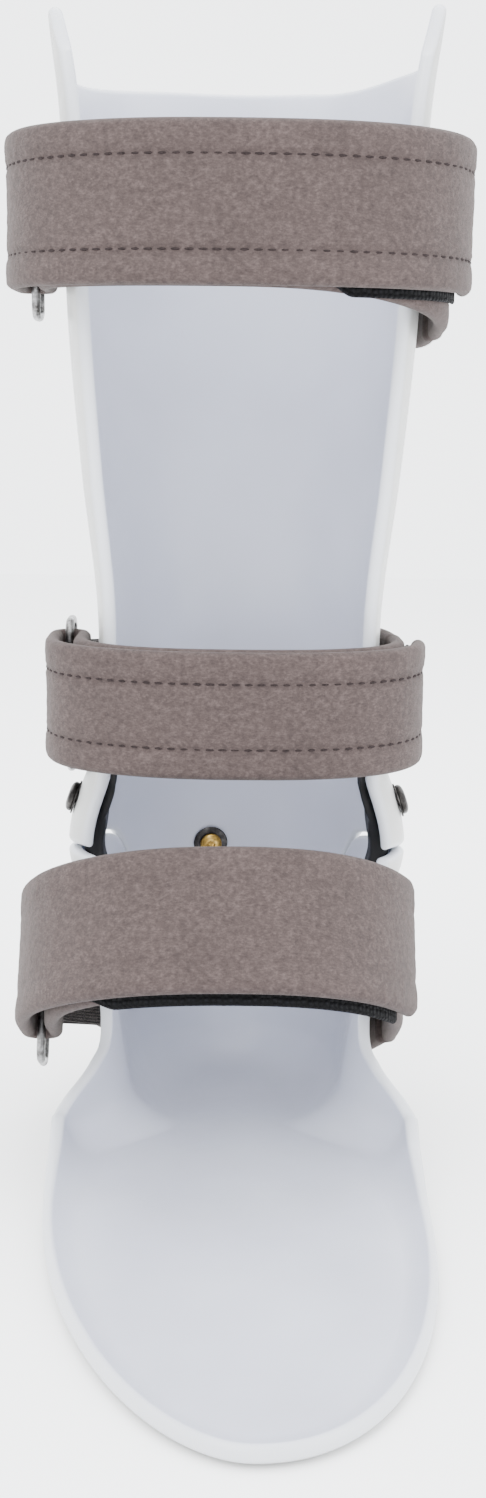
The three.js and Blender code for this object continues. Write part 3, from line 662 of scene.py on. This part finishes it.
def station_profile(station, inward, rows):
    """Outer face of one station, from the edge of the floor up to just below its rounded rim."""
    top, plan = station
    full = top >= HEEL_RADIUS
    last = math.pi / 2 if full else math.acos(1 - top / HEEL_RADIUS)
    bend = HEEL_RADIUS * last
    wall = max(0.0, top - RIM_BULGE - HEEL_RADIUS)
    run = (bend + wall) * np.arange(rows + 1) / rows
    angles = np.minimum(run / HEEL_RADIUS, last)
    z = HEEL_RADIUS * (1 - np.cos(angles)) + np.maximum(run - bend, 0)
    inset = HEEL_RADIUS * (math.sin(last) - np.sin(angles)) + RIM_BULGE * math.cos(last)
    return np.column_stack([plan(z) + inward * inset[:, None], z])


def floor_rings(ring, height):
    """Rings inside a ring of the floor, so that the flat middle is shaded flat."""
    depths = np.clip(ring[:, 1], *FOOT_SPINE)
    spine = np.column_stack([np.zeros(len(ring)), depths, np.full(len(ring), height)])
    return [lerp(ring, spine, share) for share in (0.03, 0.1, 0.3)]


def make_foot_shell():
    rows = 48
    lateral = foot_stations(-1)
    medial = foot_stations(1)
    stations = lateral + medial[1:-1][::-1]
    rims = np.array([plan(np.array(HEEL_RADIUS)) for _, plan in stations])
    along = unit(np.roll(rims, -1, axis=0) - np.roll(rims, 1, axis=0))
    inward = np.column_stack([along[:, 1], -along[:, 0]])
    spine = np.column_stack([np.zeros(len(rims)), np.clip(rims[:, 1], *FOOT_SPINE)])
    inward *= np.sign(np.sum(inward * (spine - rims), axis=1))[:, None]
    flare = (rims[:, 1] < -ANKLE_TRIM) & (rims[:, 1] > FOOT_SIDES[-1]["widest_y"])
    inward[flare] = np.column_stack([-np.sign(rims[flare, 0]), np.zeros(flare.sum())])
    outer = np.array([station_profile(s, n, rows) for s, n in zip(stations, inward)])
    up = np.gradient(outer, axis=1)
    round_it = np.roll(outer, -1, axis=0) - np.roll(outer, 1, axis=0)
    normal = unit(np.cross(round_it, up))
    from_spine = outer[..., 1] - np.clip(outer[..., 1], *FOOT_SPINE)
    facing = normal[..., 0] * outer[..., 0] + normal[..., 1] * from_spine
    facing += normal[..., 2] * -20    # the floor faces down, away from a spine well above it
    normal = np.where(facing[..., None] > 0, -normal, normal)
    normal[:, 0] = (0, 0, 1)
    inner = outer + normal * WALL
    inner[:, 0, 2] = WALL
    rim_up = unit(outer[:, -1] - outer[:, -2])
    centre = (outer[:, -1] + inner[:, -1]) / 2
    spoke = outer[:, -1] - centre
    turns = np.linspace(0, math.pi, 9)[1:-1]
    arc = [centre + spoke * math.cos(a) + rim_up * RIM_BULGE * math.sin(a) for a in turns]
    under = floor_rings(outer[:, 0], 0)[::-1]
    over = floor_rings(inner[:, 0], WALL)
    rings = np.array([*under, *outer.transpose(1, 0, 2), *arc, *inner.transpose(1, 0, 2)[::-1], *over])
    points, faces = loft(rings)
    middle = len(under) + rows + 4
    steps = np.linalg.norm(np.diff(rings, axis=0), axis=2)
    run = np.concatenate([np.zeros((1, len(stations))), np.cumsum(steps, axis=0)])
    # marks where the rounded rim gets a painted highlight
    rim = (1 - smoothstep(1.2, 3.0, np.abs(run - run[middle]))).reshape(-1)
    # marks the inner face, which is painted a lighter, cooler tone as painted light
    lining = np.repeat((np.arange(len(rings)) > middle).astype(float), len(stations))
    obj = solid("foot_shell_moulded", points, faces, LOOKS["plastic"], lining=lining, rim=rim)
    join_piece(obj, "foot", "polypropylene", "foot_shell")


# ---------- turned hardware ----------


def make_turned(node, word, profile, where, metal, body, sides=48):
    """A turned piece from (radius, height) rows; a third value of 1 makes a row six-sided."""
    angles = np.linspace(0, 2 * math.pi, sides, endpoint=False)
    sixth = np.cos(math.pi / 6) / np.cos(np.mod(angles, math.pi / 3) - math.pi / 6)
    rings = []
    for radius, height, *hexagon in profile:
        reach = radius * lerp(np.ones(sides), sixth, sum(hexagon))
        rings.append(np.column_stack([reach[:, None] * spokes(angles), np.full(sides, height)]))
    closed = profile[0] == profile[-1]
    rings = np.array(rings[:-1] if closed else rings)
    points, faces = loft(rings, closed)
    obj = solid(f"{node}_{word}", placed(points, where), faces, LOOKS[metal], 35)
    join_piece(obj, body, METAL_SLOTS[metal], node)


def socket_head(radius, base, height, socket):
    """Rows for a domed head with a hexagon socket, from its rim to the bottom of the socket."""
    rows = [(radius * 0.94, base), (radius, base + 0.12 * height), (radius, base + 0.35 * height)]
    for angle in np.linspace(0.15, 1, 7) * math.pi / 2:
        reach = lerp(socket + 0.35, radius, math.cos(angle))
        rows.append((reach, base + height * (0.35 + 0.65 * math.sin(angle))))
    top = base + height
    rows += [(socket, top - 0.12, 0.6), (socket * 0.96, top - 0.3, 1)]
    rows += [(socket * 0.94, top - 0.62 * height, 1), (socket * 0.6, top - 0.7 * height, 1)]
    return rows + [(0.0, top - 0.74 * height)]


def make_ankle_hinge(side, side_name):
    """The two screws and inserts of one ankle joint, and the flexure joint between them."""
    bottom = -WALL - SCREW.depth
    shank, bore = SCREW.shank, SCREW.shank + GAP
    stem = [(0.0, bottom), (shank * 0.7, bottom), (shank, bottom + 0.5), (shank, 0.5)]
    wide, washer_top = SCREW.washer, SCREW.washer_top
    washer = [(wide - 0.2, 0.12), (wide, 0.3), (wide - 0.1, washer_top)]
    head = socket_head(SCREW.head, washer_top + 0.04, SCREW.height, SCREW.socket)
    flange, edge, under = INSERT.flange, INSERT.edge, bottom - INSERT.thick
    barrel, top = bore + INSERT.wall, -WALL - INSERT.sunk
    rows = [(bore + edge, under), (flange - edge, under), (flange, under + 0.25), (flange, bottom),
            (barrel, bottom), (barrel, top), (bore, top), (bore, under + edge), (bore + edge, under)]
    for level, rise, body in (("upper", 1, "calf"), ("lower", -1, "foot")):
        z = ANKLE_Z + rise * FLEXURE.screw_z
        where = place_on_leg(station_at(side, 0, z), z)
        make_turned(f"joint_screw_{level}_{side_name}", "dark", stem + washer + head, where, "dark", body)
        make_turned(f"joint_insert_{level}_{side_name}", "brass", rows, where, "brass", body)
    make_flexure(side, side_name)


def make_flexure(side, side_name):
    """Dog-bone elastomer joint that fills the dome from the shell to its flat inner face."""
    length = 2 * FLEXURE.half_length
    along = between_edges(length, FLEXURE.edge, 1.6)
    across = between_edges(2.0, 0.16, 0.2) - 1
    across, along = np.meshgrid(across, along)
    rise = along - FLEXURE.half_length
    share = np.abs(rise) / FLEXURE.half_length
    half = lerp(FLEXURE.waist_half, FLEXURE.end_half, smoothstep(0.05, 0.55, share))
    half = half * np.sqrt(1 - 0.75 * smoothstep(0.6, 1, share) ** 2)
    y = half * across
    z = ANKLE_Z + rise
    shares = np.linspace(0.3, 1, 400)
    u = side * np.interp(-y, -leg_point(shares, ANKLE_Z)[:, 1], shares)
    depth = (WALL + 2 * GAP) / np.abs(leg_normal(u, z)[..., 0])
    outer_x = np.abs(leg_point(u, z)[..., 0]) - depth
    inner_x = np.minimum(FLEXURE.inner_x, outer_x - FLEXURE.least)
    thick = outer_x - inner_x
    distance = np.minimum(half * (1 - np.abs(across)), np.minimum(along, length - along))
    reach = edge_rounded(thick / 2, np.minimum(FLEXURE.edge, thick / 2 - 0.2), distance)
    waist = FLEXURE.hollow * np.exp(-((rise / FLEXURE.hollow_reach) ** 2))
    middle = inner_x + thick / 2
    outer = np.stack([side * (middle + reach), y, z], axis=-1)
    inner = np.stack([side * (middle - reach + waist), y, z], axis=-1)
    points, faces = sheet(outer, inner)
    obj = solid(f"flexure_joint_{side_name}_moulded", points, faces, LOOKS["rubber"])
    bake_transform(obj)
    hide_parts(f"flexure_joint_{side_name}")


def make_posterior_stop():
    """The screw at the back with its washer inside, its nut outside and the block it holds."""
    u = station_at(-1, float(back_depth(STOP.height)) - 0.5, STOP.height)
    where = place_on_leg(u, STOP.height)
    shank, bore = STOP.shank, STOP.shank + GAP
    outside = STOP_BLOCK.thick + STOP_BLOCK.stand_off * 2
    tip, base = outside + STOP.spare, -WALL - STOP.head_off
    domed = socket_head(STOP.head, base, STOP.head_high, STOP.socket)
    head = [(radius, 2 * base - height, *six) for radius, height, *six in domed[::-1]]
    stem = [(shank, base), (shank, tip - 0.5), (shank - 0.5, tip), (0.0, tip)]
    make_turned("stop_screw", "brass", head + stem, where, "brass", "calf")
    low, high, wide = base + 0.1, base + 1.0, STOP.washer
    rows = [(bore, low + 0.1), (bore + 0.1, low), (wide - 0.2, low), (wide, low + 0.2),
            (wide, high - 0.2), (wide - 0.2, high), (bore, high), (bore, low + 0.1)]
    make_turned("stop_washer", "dark", rows, where, "dark", "calf")
    low, wide = outside + 0.2, STOP.nut
    high = low + STOP.nut_thick
    rows = [(bore, low), (wide - 0.5, low), (wide - 0.05, low + 0.35, 1), (wide, low + 0.5, 1),
            (wide, high - 0.5, 1), (wide - 0.05, high - 0.35, 1), (wide - 0.5, high), (bore + 0.4, high),
            (bore, high - 0.4), (bore, low)]
    make_turned("stop_nut", "brass", rows, where, "brass", "calf")
    make_stop_block(u)


def make_stop_block(centre_u):
    """The block outside the shell, bent to follow it."""
    low, high = SPLIT.back + SPLIT.gap / 2 + 1.2, STOP_BLOCK.top
    radius, wide, half = STOP_BLOCK.edge, STOP_BLOCK.width, STOP_BLOCK.thick / 2
    rise = between_edges(high - low, radius, 1.5)
    across = between_edges(wide, radius, 1.5)
    across, rise = np.meshgrid(across, rise)
    u = centre_u + STOP_BLOCK.reach_u * (2 * across / wide - 1)
    distance = np.minimum(np.minimum(across, wide - across), np.minimum(rise, high - low - rise))
    reach = edge_rounded(half, radius, distance)
    points, faces = leg_sheet(u, low + rise, STOP_BLOCK.stand_off + half, reach)
    obj = solid("stop_block_moulded", points, faces, LOOKS["rubber"])
    join_piece(obj, "calf", "elastomer", "stop_block")


# ---------- closures ----------


def closure_matrix(closure):
    turn = Matrix.Rotation(-math.radians(closure.tilt), 4, "X")
    return Matrix.Translation((0, 0, closure.z)) @ turn


def under_closure(closure, side, y, z):
    spot = closure_matrix(closure) @ Vector((0, y, z))
    return station_at(side, spot.y, spot.z), spot.z


def shell_reach(closure, side, y):
    """Half width of the shell, at its widest under the closure, at depth y."""
    lowered = closure.droop if side > 0 else 0
    reaches = []
    for share in np.linspace(-0.5, 0.5, 7):
        u, z = under_closure(closure, side, y, share * closure.width - lowered)
        reaches.append(abs(float(leg_point(u, z)[0])))
    return max(reaches)


def front_line(closure, offset):
    """The strap's inner face round the front, from the medial corner to the lateral one."""
    angle = np.linspace(0, math.pi, FRONT_STEPS + 1)
    cosine = np.cos(angle)
    reach = np.where(cosine > 0, closure.medial, closure.lateral) + offset
    x = np.sign(cosine) * reach * np.abs(cosine) ** (2 / closure.power)
    depth = (closure.front + closure.corner + offset) * np.abs(np.sin(angle)) ** (2 / closure.power)
    return np.column_stack([x, closure.corner - depth])


def side_line(closure, offset):
    """The anchored side run of the strap's inner face, from its end to the medial corner."""
    depths = np.linspace(closure.rivet + ANCHOR_MARGIN, closure.corner, SIDE_STEPS + 1)[:-1]
    reaches = []
    for y in depths:
        snug = closure.medial
        if y >= 0:
            snug = min(snug, shell_reach(closure, 1, y) + 3 * GAP)
        reaches.append(snug + offset)
    return np.column_stack([reaches, depths])


def fold_bar(closure):
    return np.array([-(closure.lateral + STRAP_THICK + FOLD_GAP / 2), closure.ring_y])


def fold_lines(closure, first, last, count=16):
    """The face of the fold that lies on the ring's bar, and its outer face, between two angles."""
    out = spokes(np.linspace(first, last, count + 1))
    bar, inner = fold_bar(closure), FOLD_GAP / 2
    return bar + out * inner, bar + out * (inner + STRAP_THICK)


def resampled(lines, marks, spacing, start_radius, end_radius):
    """Lines of matching points, spread evenly along their middle and closer at rounded ends."""
    middle = sum(lines) / len(lines)
    run = np.concatenate([[0], np.cumsum(np.linalg.norm(np.diff(middle, axis=0), axis=1))])
    count = int(round(run[-1] / spacing))
    at = np.linspace(0, run[-1], count + 1)
    if start_radius:
        at = np.concatenate([rounded_steps(start_radius), at[at > start_radius * 1.2]])
    if end_radius:
        kept = at[at < run[-1] - end_radius * 1.2]
        at = np.concatenate([kept, (run[-1] - rounded_steps(end_radius))[::-1]])
    moved = [np.column_stack([np.interp(at, run, line[:, axis]) for axis in (0, 1)]) for line in lines]
    return moved, [np.interp(at, run, mark) for mark in marks], at


class Band:
    """A flat band along a path seen from above, with rounded edges and, where it ends, rounded corners."""

    def __init__(self, near, far, width, start=False, end=False, drop=None, corner=4.0, spacing=1.25):
        thick = float(np.linalg.norm(far[0] - near[0]))
        radius = thick / 2
        drop = np.zeros(len(near)) if drop is None else drop
        (near, far), (drop,), at = resampled([near, far], [drop], spacing, start and radius, end and radius)
        from_start = at if start else np.full_like(at, 1e3)
        from_end = at[-1] - at if end else np.full_like(at, 1e3)
        to_end = np.minimum(from_start, from_end)
        pulled = corner - np.minimum(to_end, corner)
        half = width / 2 - corner + np.sqrt(np.maximum(corner**2 - pulled**2, 0))
        share = between_edges(2.0, 2 * radius / width, 2 * spacing / width) - 1
        self.across = share[None, :] * half[:, None]
        self.along = np.repeat(at[:, None], len(share), axis=1)
        self.edge = half[:, None] * (1 - np.abs(share[None, :]))
        self.to_end = np.repeat(to_end[:, None], len(share), axis=1)
        self.reach = edge_rounded(radius, radius, np.minimum(self.edge, self.to_end))
        self.middle = (near + far) / 2
        self.out = unit(far - near)
        self.drop = drop
        self.length = at[-1]

    def surface(self, depth):
        """Points at a depth from the middle, positive towards the far face."""
        plan = self.middle[:, None, :] + self.out[:, None, :] * depth[..., None]
        return np.concatenate([plan, (self.across - self.drop[:, None])[..., None]], axis=-1)

    def skin(self, far_depth, near_depth):
        """Points and faces between two depths, and where each point lies in the flat cloth, in metres."""
        points, faces = sheet(self.surface(far_depth), self.surface(near_depth))
        flat = [np.stack([self.along, self.across, side * self.reach], axis=-1) for side in (1, -1)]
        return points, faces, np.concatenate(flat).reshape(-1, 3) * MM


def fabric_relief(band, points, seed, stitched, bar):
    """How far brushed fabric stands out of the plain band: puffed hems, sunk seams and an uneven nap."""
    from_row = band.edge - HEM
    seam = np.exp(-((from_row / 0.75) ** 2))
    relief = PUFF.height * np.exp(-(((from_row + PUFF.from_row) / PUFF.half) ** 2))
    relief -= SEAM_DEPTH["stitched" if stitched else "faint"] * seam
    if stitched:
        pull = np.cos(band.along * 2 * math.pi / STITCH.pitch)
        relief += PUCKER.height * (pull * np.exp(-((from_row / PUCKER.half) ** 2)))
    nap = sum(ripple(points, size, height, seed + k) for k, (size, height) in enumerate(NAP))
    to_bar = np.hypot(points[..., 0] - bar[0], points[..., 1] - bar[1])
    fade = smoothstep(0, 1.2, np.minimum(band.edge, band.to_end)) * smoothstep(*SMOOTH_NEAR_BAR, to_bar)
    return (relief + nap.reshape(band.edge.shape)) * fade


def fabric_band(name, band, where, seed, stitched, bar):
    """A padded strap with its sunk stitch rows, smooth where it lies round the ring's bar."""
    far_relief = fabric_relief(band, band.surface(band.reach), seed, stitched, bar)
    near_relief = 0.35 * fabric_relief(band, band.surface(-band.reach), seed + 5, stitched, bar)
    near_depth = -band.reach - np.clip(near_relief, -0.5, 0.15)
    points, faces, lay = band.skin(band.reach + far_relief, near_depth)
    # painted shade along the sunk stitch rows, weaker where they are not stitched
    seam = np.exp(-(((band.edge - HEM) / 0.7) ** 2)) * (0.4 if stitched else 0.2)
    seam = np.tile(seam.reshape(-1), 2)
    obj = solid(name, placed(points, where), faces, LOOKS["strap"], 70, lay=lay, seam=seam)
    return obj


def stitch_mesh(length, radius):
    """Points and faces of one stitch: a short thread with tapered ends along X."""
    out = spokes(np.linspace(0, 2 * math.pi, 6, endpoint=False))
    rings = []
    for share, thick in ((-1, 0.25), (-0.75, 0.8), (-0.3, 1), (0.3, 1), (0.75, 0.8), (1, 0.25)):
        rings.append(np.column_stack([np.full(6, share * length / 2), radius * thick * out]))
    return loft(np.array(rings))


def make_stitches(name, band, where, width):
    """Both rows of stitches on one face of a strap."""
    base, base_faces = stitch_mesh(STITCH.length, STITCH.radius)
    points, faces = [], []
    count = int((band.length - 2 * STITCH.margin) / STITCH.pitch)
    at = band.along[:, 0]
    for row in (-1, 1):
        for k in range(count):
            run = STITCH.margin + STITCH.pitch * (k + 0.5)
            centre = [float(np.interp(run, at, band.middle[:, axis])) for axis in (0, 1)]
            out = [float(np.interp(run, at, band.out[:, axis])) for axis in (0, 1)]
            out = Vector((*out, 0)).normalized()
            along = Vector((-out.y, out.x, 0))
            depth = STRAP_THICK / 2 - SEAM_DEPTH["stitched"] + STITCH.proud
            drop = float(np.interp(run, at, band.drop))
            spot = Vector((*centre, row * (width / 2 - HEM) - drop)) + out * depth
            frame = Matrix((along, Vector((0, 0, 1)), out)).transposed().to_4x4()
            frame.translation = spot
            faces += [[i + len(base) * len(points) for i in face] for face in base_faces]
            points.append(placed(base, frame))
    return solid(name, placed(np.concatenate(points), where), faces, LOOKS["thread"])


def finish_closure_piece(closure, part, word, body, slot, look, points, faces, **marks):
    """Makes a part of a closure at its place and names it after the CAD node it stands for."""
    node = f"{closure.name}_{part}"
    obj = solid(f"{node}_{word}", placed(points, closure_matrix(closure)), faces, LOOKS[look], **marks)
    join_piece(obj, body, slot, node)


def strap_band(closure):
    """The anchored strap: up its side, round the front and half way round the ring's bar."""
    fold_in, fold_out = fold_lines(closure, 0, math.pi / 2)
    near = np.concatenate([side_line(closure, 0), front_line(closure, 0), fold_out])
    far = np.concatenate([side_line(closure, STRAP_THICK), front_line(closure, STRAP_THICK), fold_in])
    side = np.linspace(0, DROOP.side, SIDE_STEPS + 1)[:-1]
    front = np.linspace(DROOP.side, DROOP.front, FRONT_STEPS + 1)
    place_along = np.concatenate([side, front, np.full(len(fold_in), DROOP.front)])
    drop = closure.droop * (1 - smoothstep(0, DROOP.gone, place_along))
    return Band(near, far, closure.width, start=True, drop=drop)


def tail_lines(closure):
    """Near and far lines of the tail, from the back of the fold to its free end on the medial side."""
    root_x = -(closure.lateral + STRAP_THICK + FOLD_GAP)
    near, far = fold_lines(closure, math.pi / 2, math.pi)
    lines = []
    for layer, fold in ((0, near), (1, far)):
        trimmed = int(round(FRONT_STEPS * closure.tail_trim))
        line = front_line(closure, TAIL_STAND_OFF + layer * STRAP_THICK)[trimmed:][::-1].copy()
        end_x = line[0, 0]
        spread = root_x - layer * STRAP_THICK - end_x
        line[:, 0] += spread * smoothstep(0.55, 1, line[:, 0] / end_x)
        lines.append(np.concatenate([fold, line]))
    return lines


def make_strap(closure, seed):
    name, body = closure.name, closure.body
    where = closure_matrix(closure)
    band = strap_band(closure)
    bar = fold_bar(closure)
    strap = fabric_band(f"{name}_strap_padded", band, where, seed, True, bar)
    join_piece(strap, body, "strap_fabric", f"{name}_strap")
    near, far = tail_lines(closure)
    tail_band = Band(near, far, closure.width, end=True, corner=5.0)
    stitched = closure.stitched_tail
    tail = fabric_band(f"{name}_strap_tail_padded", tail_band, where, seed + 11, stitched, bar)
    pieces = [tail]
    if stitched:
        pieces.append(make_stitches(f"{name}_strap_tail_stitching", tail_band, where, closure.width))
    for piece in pieces:
        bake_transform(piece)
    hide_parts(f"{name}_strap_tail")


def make_hook_strip(closure):
    """The strip of hooks under the tail, from just inside its free end to its cut end."""
    near = front_line(closure, STRAP_THICK + GAP)
    far = front_line(closure, STRAP_THICK + GAP + HOOK_THICK)
    first = int(round(FRONT_STEPS * closure.hook_trim))
    last = int(round(FRONT_STEPS * closure.hook_end))
    used = slice(first, last + 1)
    share = np.linspace(0, 1, FRONT_STEPS + 1)[used]
    drop = closure.hook_low * smoothstep(*closure.hook_low_from, share)
    band = Band(near[used], far[used], closure.width - 2, start=True, end=True, drop=drop, corner=2.5)
    teeth = np.sin(band.along * 2 * math.pi / TEETH.along)
    teeth = TEETH.depth * teeth * np.sin(band.across * 2 * math.pi / TEETH.across)
    points, faces, lay = band.skin(band.reach, -band.reach - np.maximum(teeth, 0))
    tail = f"{closure.name}_tail"
    finish_closure_piece(closure, "hook_strip", "tape", tail, "hook_tape", "hook", points, faces, lay=lay)


def ring_centre(closure):
    return fold_bar(closure) + np.array([0, RING.length / 2 - WIRE_RADIUS])


def make_ring(closure):
    """A rectangular ring of bent wire with rounded corners."""
    half_y, half_z, radius = RING.length / 2, (closure.width + RING.spare) / 2, RING.corner
    line = []
    for corner in range(4):
        sign_y = 1 if corner in (0, 3) else -1
        sign_z = 1 if corner < 2 else -1
        for step in np.linspace(0, math.pi / 2, 9):
            angle = corner * math.pi / 2 + step
            line.append((0, sign_y * (half_y - radius) + radius * math.cos(angle),
                         sign_z * (half_z - radius) + radius * math.sin(angle)))
    line = np.array(line)
    along = unit(np.roll(line, -1, axis=0) - np.roll(line, 1, axis=0))
    sideways = np.array([1.0, 0, 0])
    across = np.cross(along, sideways)
    angles = np.linspace(0, 2 * math.pi, 20, endpoint=False)
    round_wire = np.cos(angles)[:, None] * sideways + np.sin(angles)[:, None] * across[:, None]
    ring = line[:, None] + WIRE_RADIUS * round_wire
    points, faces = loft(ring, closed=True)
    where = closure_matrix(closure) @ Matrix.Translation((*ring_centre(closure), -RING.drop))
    obj = solid(f"{closure.name}_ring_wire", placed(points, where), faces, LOOKS["steel"])
    join_piece(obj, f"{closure.name}_ring_body", "steel", f"{closure.name}_ring")


def make_chafe_tab(closure):
    """Webbing doubled round the ring's rear bar, its two layers lying together back to the rivet."""
    bar = ring_centre(closure) + np.array([0, RING.length / 2])
    near_radius = WIRE_RADIUS + CHAFE.slack
    thick = CHAFE.thick
    out = spokes(np.linspace(math.pi * CHAFE.wrap_from, 2 * math.pi, 40))
    inside = bar + out * near_radius
    outside = bar + out * (near_radius + thick)
    share = np.linspace(0, 1, 40)[1:]
    y = bar[1] + closure.tab * share
    snug = np.array([-(shell_reach(closure, -1, depth) + 3 * GAP) for depth in y])
    x = lerp(bar[0] + near_radius + thick, snug, smoothstep(0, CHAFE.settled, share))
    lower_in = np.column_stack([x - thick, y])
    lower_out = np.column_stack([x, y])
    upper_from = bar[1] + near_radius + thick + CHAFE.upper_later
    back = np.linspace(upper_from, bar[1] + closure.tab - CHAFE.upper_short, 30)
    over = np.interp(back, y, x) - thick - CHAFE.layer_gap
    settled = smoothstep(upper_from, upper_from + CHAFE.upper_settled, back)
    upper_in_x = lerp(np.full_like(back, inside[0, 0]), over, settled)
    upper_in = np.column_stack([upper_in_x, back])[::-1]
    upper_out = upper_in - np.array([thick, 0])
    inside = np.concatenate([upper_in, inside, lower_in])
    outside = np.concatenate([upper_out, outside, lower_out])
    band = Band(inside, outside, CHAFE.width, start=True, end=True, corner=2.0, spacing=0.9)
    points, faces, lay = band.skin(band.reach, -band.reach)
    finish_closure_piece(closure, "chafe_tab", "webbing", closure.body, "webbing", "webbing", points,
                         faces, lay=lay)


def rivet_spot(closure, side, y, layers):
    """The place of a rivet on the shell, and how far above the shell its layers end."""
    u, z = under_closure(closure, side, y, -closure.droop if side > 0 else 0)
    shell_x = abs(float(leg_point(u, z)[0]))
    layer_x = shell_reach(closure, side, y) + 3 * GAP + layers
    slope = abs(float(leg_normal(u, z)[0]))
    return place_on_leg(u, z), (layer_x - shell_x) * slope + 2 * GAP


def rivet_rows(over):
    """Rows of a domed rivet from its clenched tail to the crown of its head."""
    head, shank, end = RIVET.head, RIVET.shank, -WALL - RIVET.tail
    rows = [(0.0, end), (1.2, end), (2.5, end + 0.3), (2.7, end + 0.6), (shank, end + 0.9),
            (shank, over - 0.2), (head * 0.92, over - 0.2), (head, over + 0.1)]
    for angle in np.linspace(0.12, 1, 9) * math.pi / 2:
        rows.append((head * math.cos(angle), over + 0.1 + RIVET.crown * math.sin(angle)))
    return rows


def make_rivets(closure):
    rear = float(ring_centre(closure)[1]) + RING.length / 2 + closure.tab - CHAFE.rivet_margin
    bore, low, high, wide = RIVET.shank + GAP, -WALL - 2, -WALL - 0.9, RIVET.burr
    burr = [(bore, low + 0.2), (bore + 0.4, low), (4.0, low + 0.25), (wide, low + 0.7), (wide, high),
            (bore, high), (bore, low + 0.2)]
    for role, side, y, layers in (("anchor", 1, closure.rivet, STRAP_THICK - 0.5),
                                  ("chafe", -1, rear, 2 * CHAFE.thick + 0.1)):
        node = f"{closure.name}_{role}"
        where, over = rivet_spot(closure, side, y, layers)
        make_turned(f"{node}_rivet", "domed", rivet_rows(over), where, "dark", closure.body)
        make_turned(f"{node}_burr", "domed", burr, where, "steel", closure.body)


# ---------- studio ----------


def make_floor():
    size, drop = 3.0, -0.0005
    mesh = bpy.data.meshes.new("studio_floor")
    corners = [(-size, -size, drop), (size, -size, drop), (size, size, drop), (-size, size, drop)]
    mesh.from_pydata(corners, [], [(0, 1, 2, 3)])
    mesh.materials.append(LOOKS["floor"])
    put_in_scene("studio_floor", mesh)


def area_light(name, location, target, side, power, colour=(1, 1, 1)):
    data = bpy.data.lights.new(name, "AREA")
    data.shape = "SQUARE"
    data.size = side
    data.energy = power
    data.color = colour
    light = put_in_scene(name, data)
    light.location = location
    light.rotation_mode = "QUATERNION"
    light.rotation_quaternion = (Vector(target) - light.location).to_track_quat("-Z", "Y")


def light_studio():
    world = bpy.data.worlds.new("studio")
    bpy.context.scene.world = world
    world.use_nodes = True
    background = world.node_tree.nodes["Background"]
    background.inputs["Color"].default_value = (0.96, 0.98, 1.0, 1.0)
    background.inputs["Strength"].default_value = 4.2
    area_light("key", (-0.5, -0.9, 1.1), target=(0, 0, 0.15), side=0.9, power=16)
    area_light("fill", (0.9, -0.5, 0.6), target=(0, 0, 0.15), side=0.8, power=7, colour=(0.95, 0.97, 1.0))
    area_light("top", (0.1, 0.2, 1.4), target=(0, 0, 0.1), side=0.9, power=12)


def make_camera():
    """The camera of the reference view: close, a little above the ankle and tilted down."""
    data = bpy.data.cameras.new("camera")
    data.sensor_fit = "AUTO"
    data.sensor_width = CAMERA.sensor
    data.lens = CAMERA.lens
    data.clip_start = 0.01
    camera = put_in_scene("camera", data)
    turn = Matrix.Rotation(-math.radians(CAMERA.yaw), 4, "Z")
    tilt = Matrix.Rotation(math.radians(90 - CAMERA.pitch), 4, "X")
    roll = Matrix.Rotation(math.radians(CAMERA.roll), 4, "Z")
    camera.matrix_world = Matrix.Translation(Vector(CAMERA.at) * MM) @ turn @ tilt @ roll
    bpy.context.scene.camera = camera


# ---------- the scene ----------

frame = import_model()

make_camera()
make_calf_shell()
make_foot_shell()
make_ankle_hinge(1, "medial")
make_ankle_hinge(-1, "lateral")
make_posterior_stop()
for order, strap_closure in enumerate(CLOSURES):
    make_strap(strap_closure, 20 * order + 3)
    make_hook_strip(strap_closure)
    make_ring(strap_closure)
    make_chafe_tab(strap_closure)
    make_rivets(strap_closure)
make_floor()
light_studio()
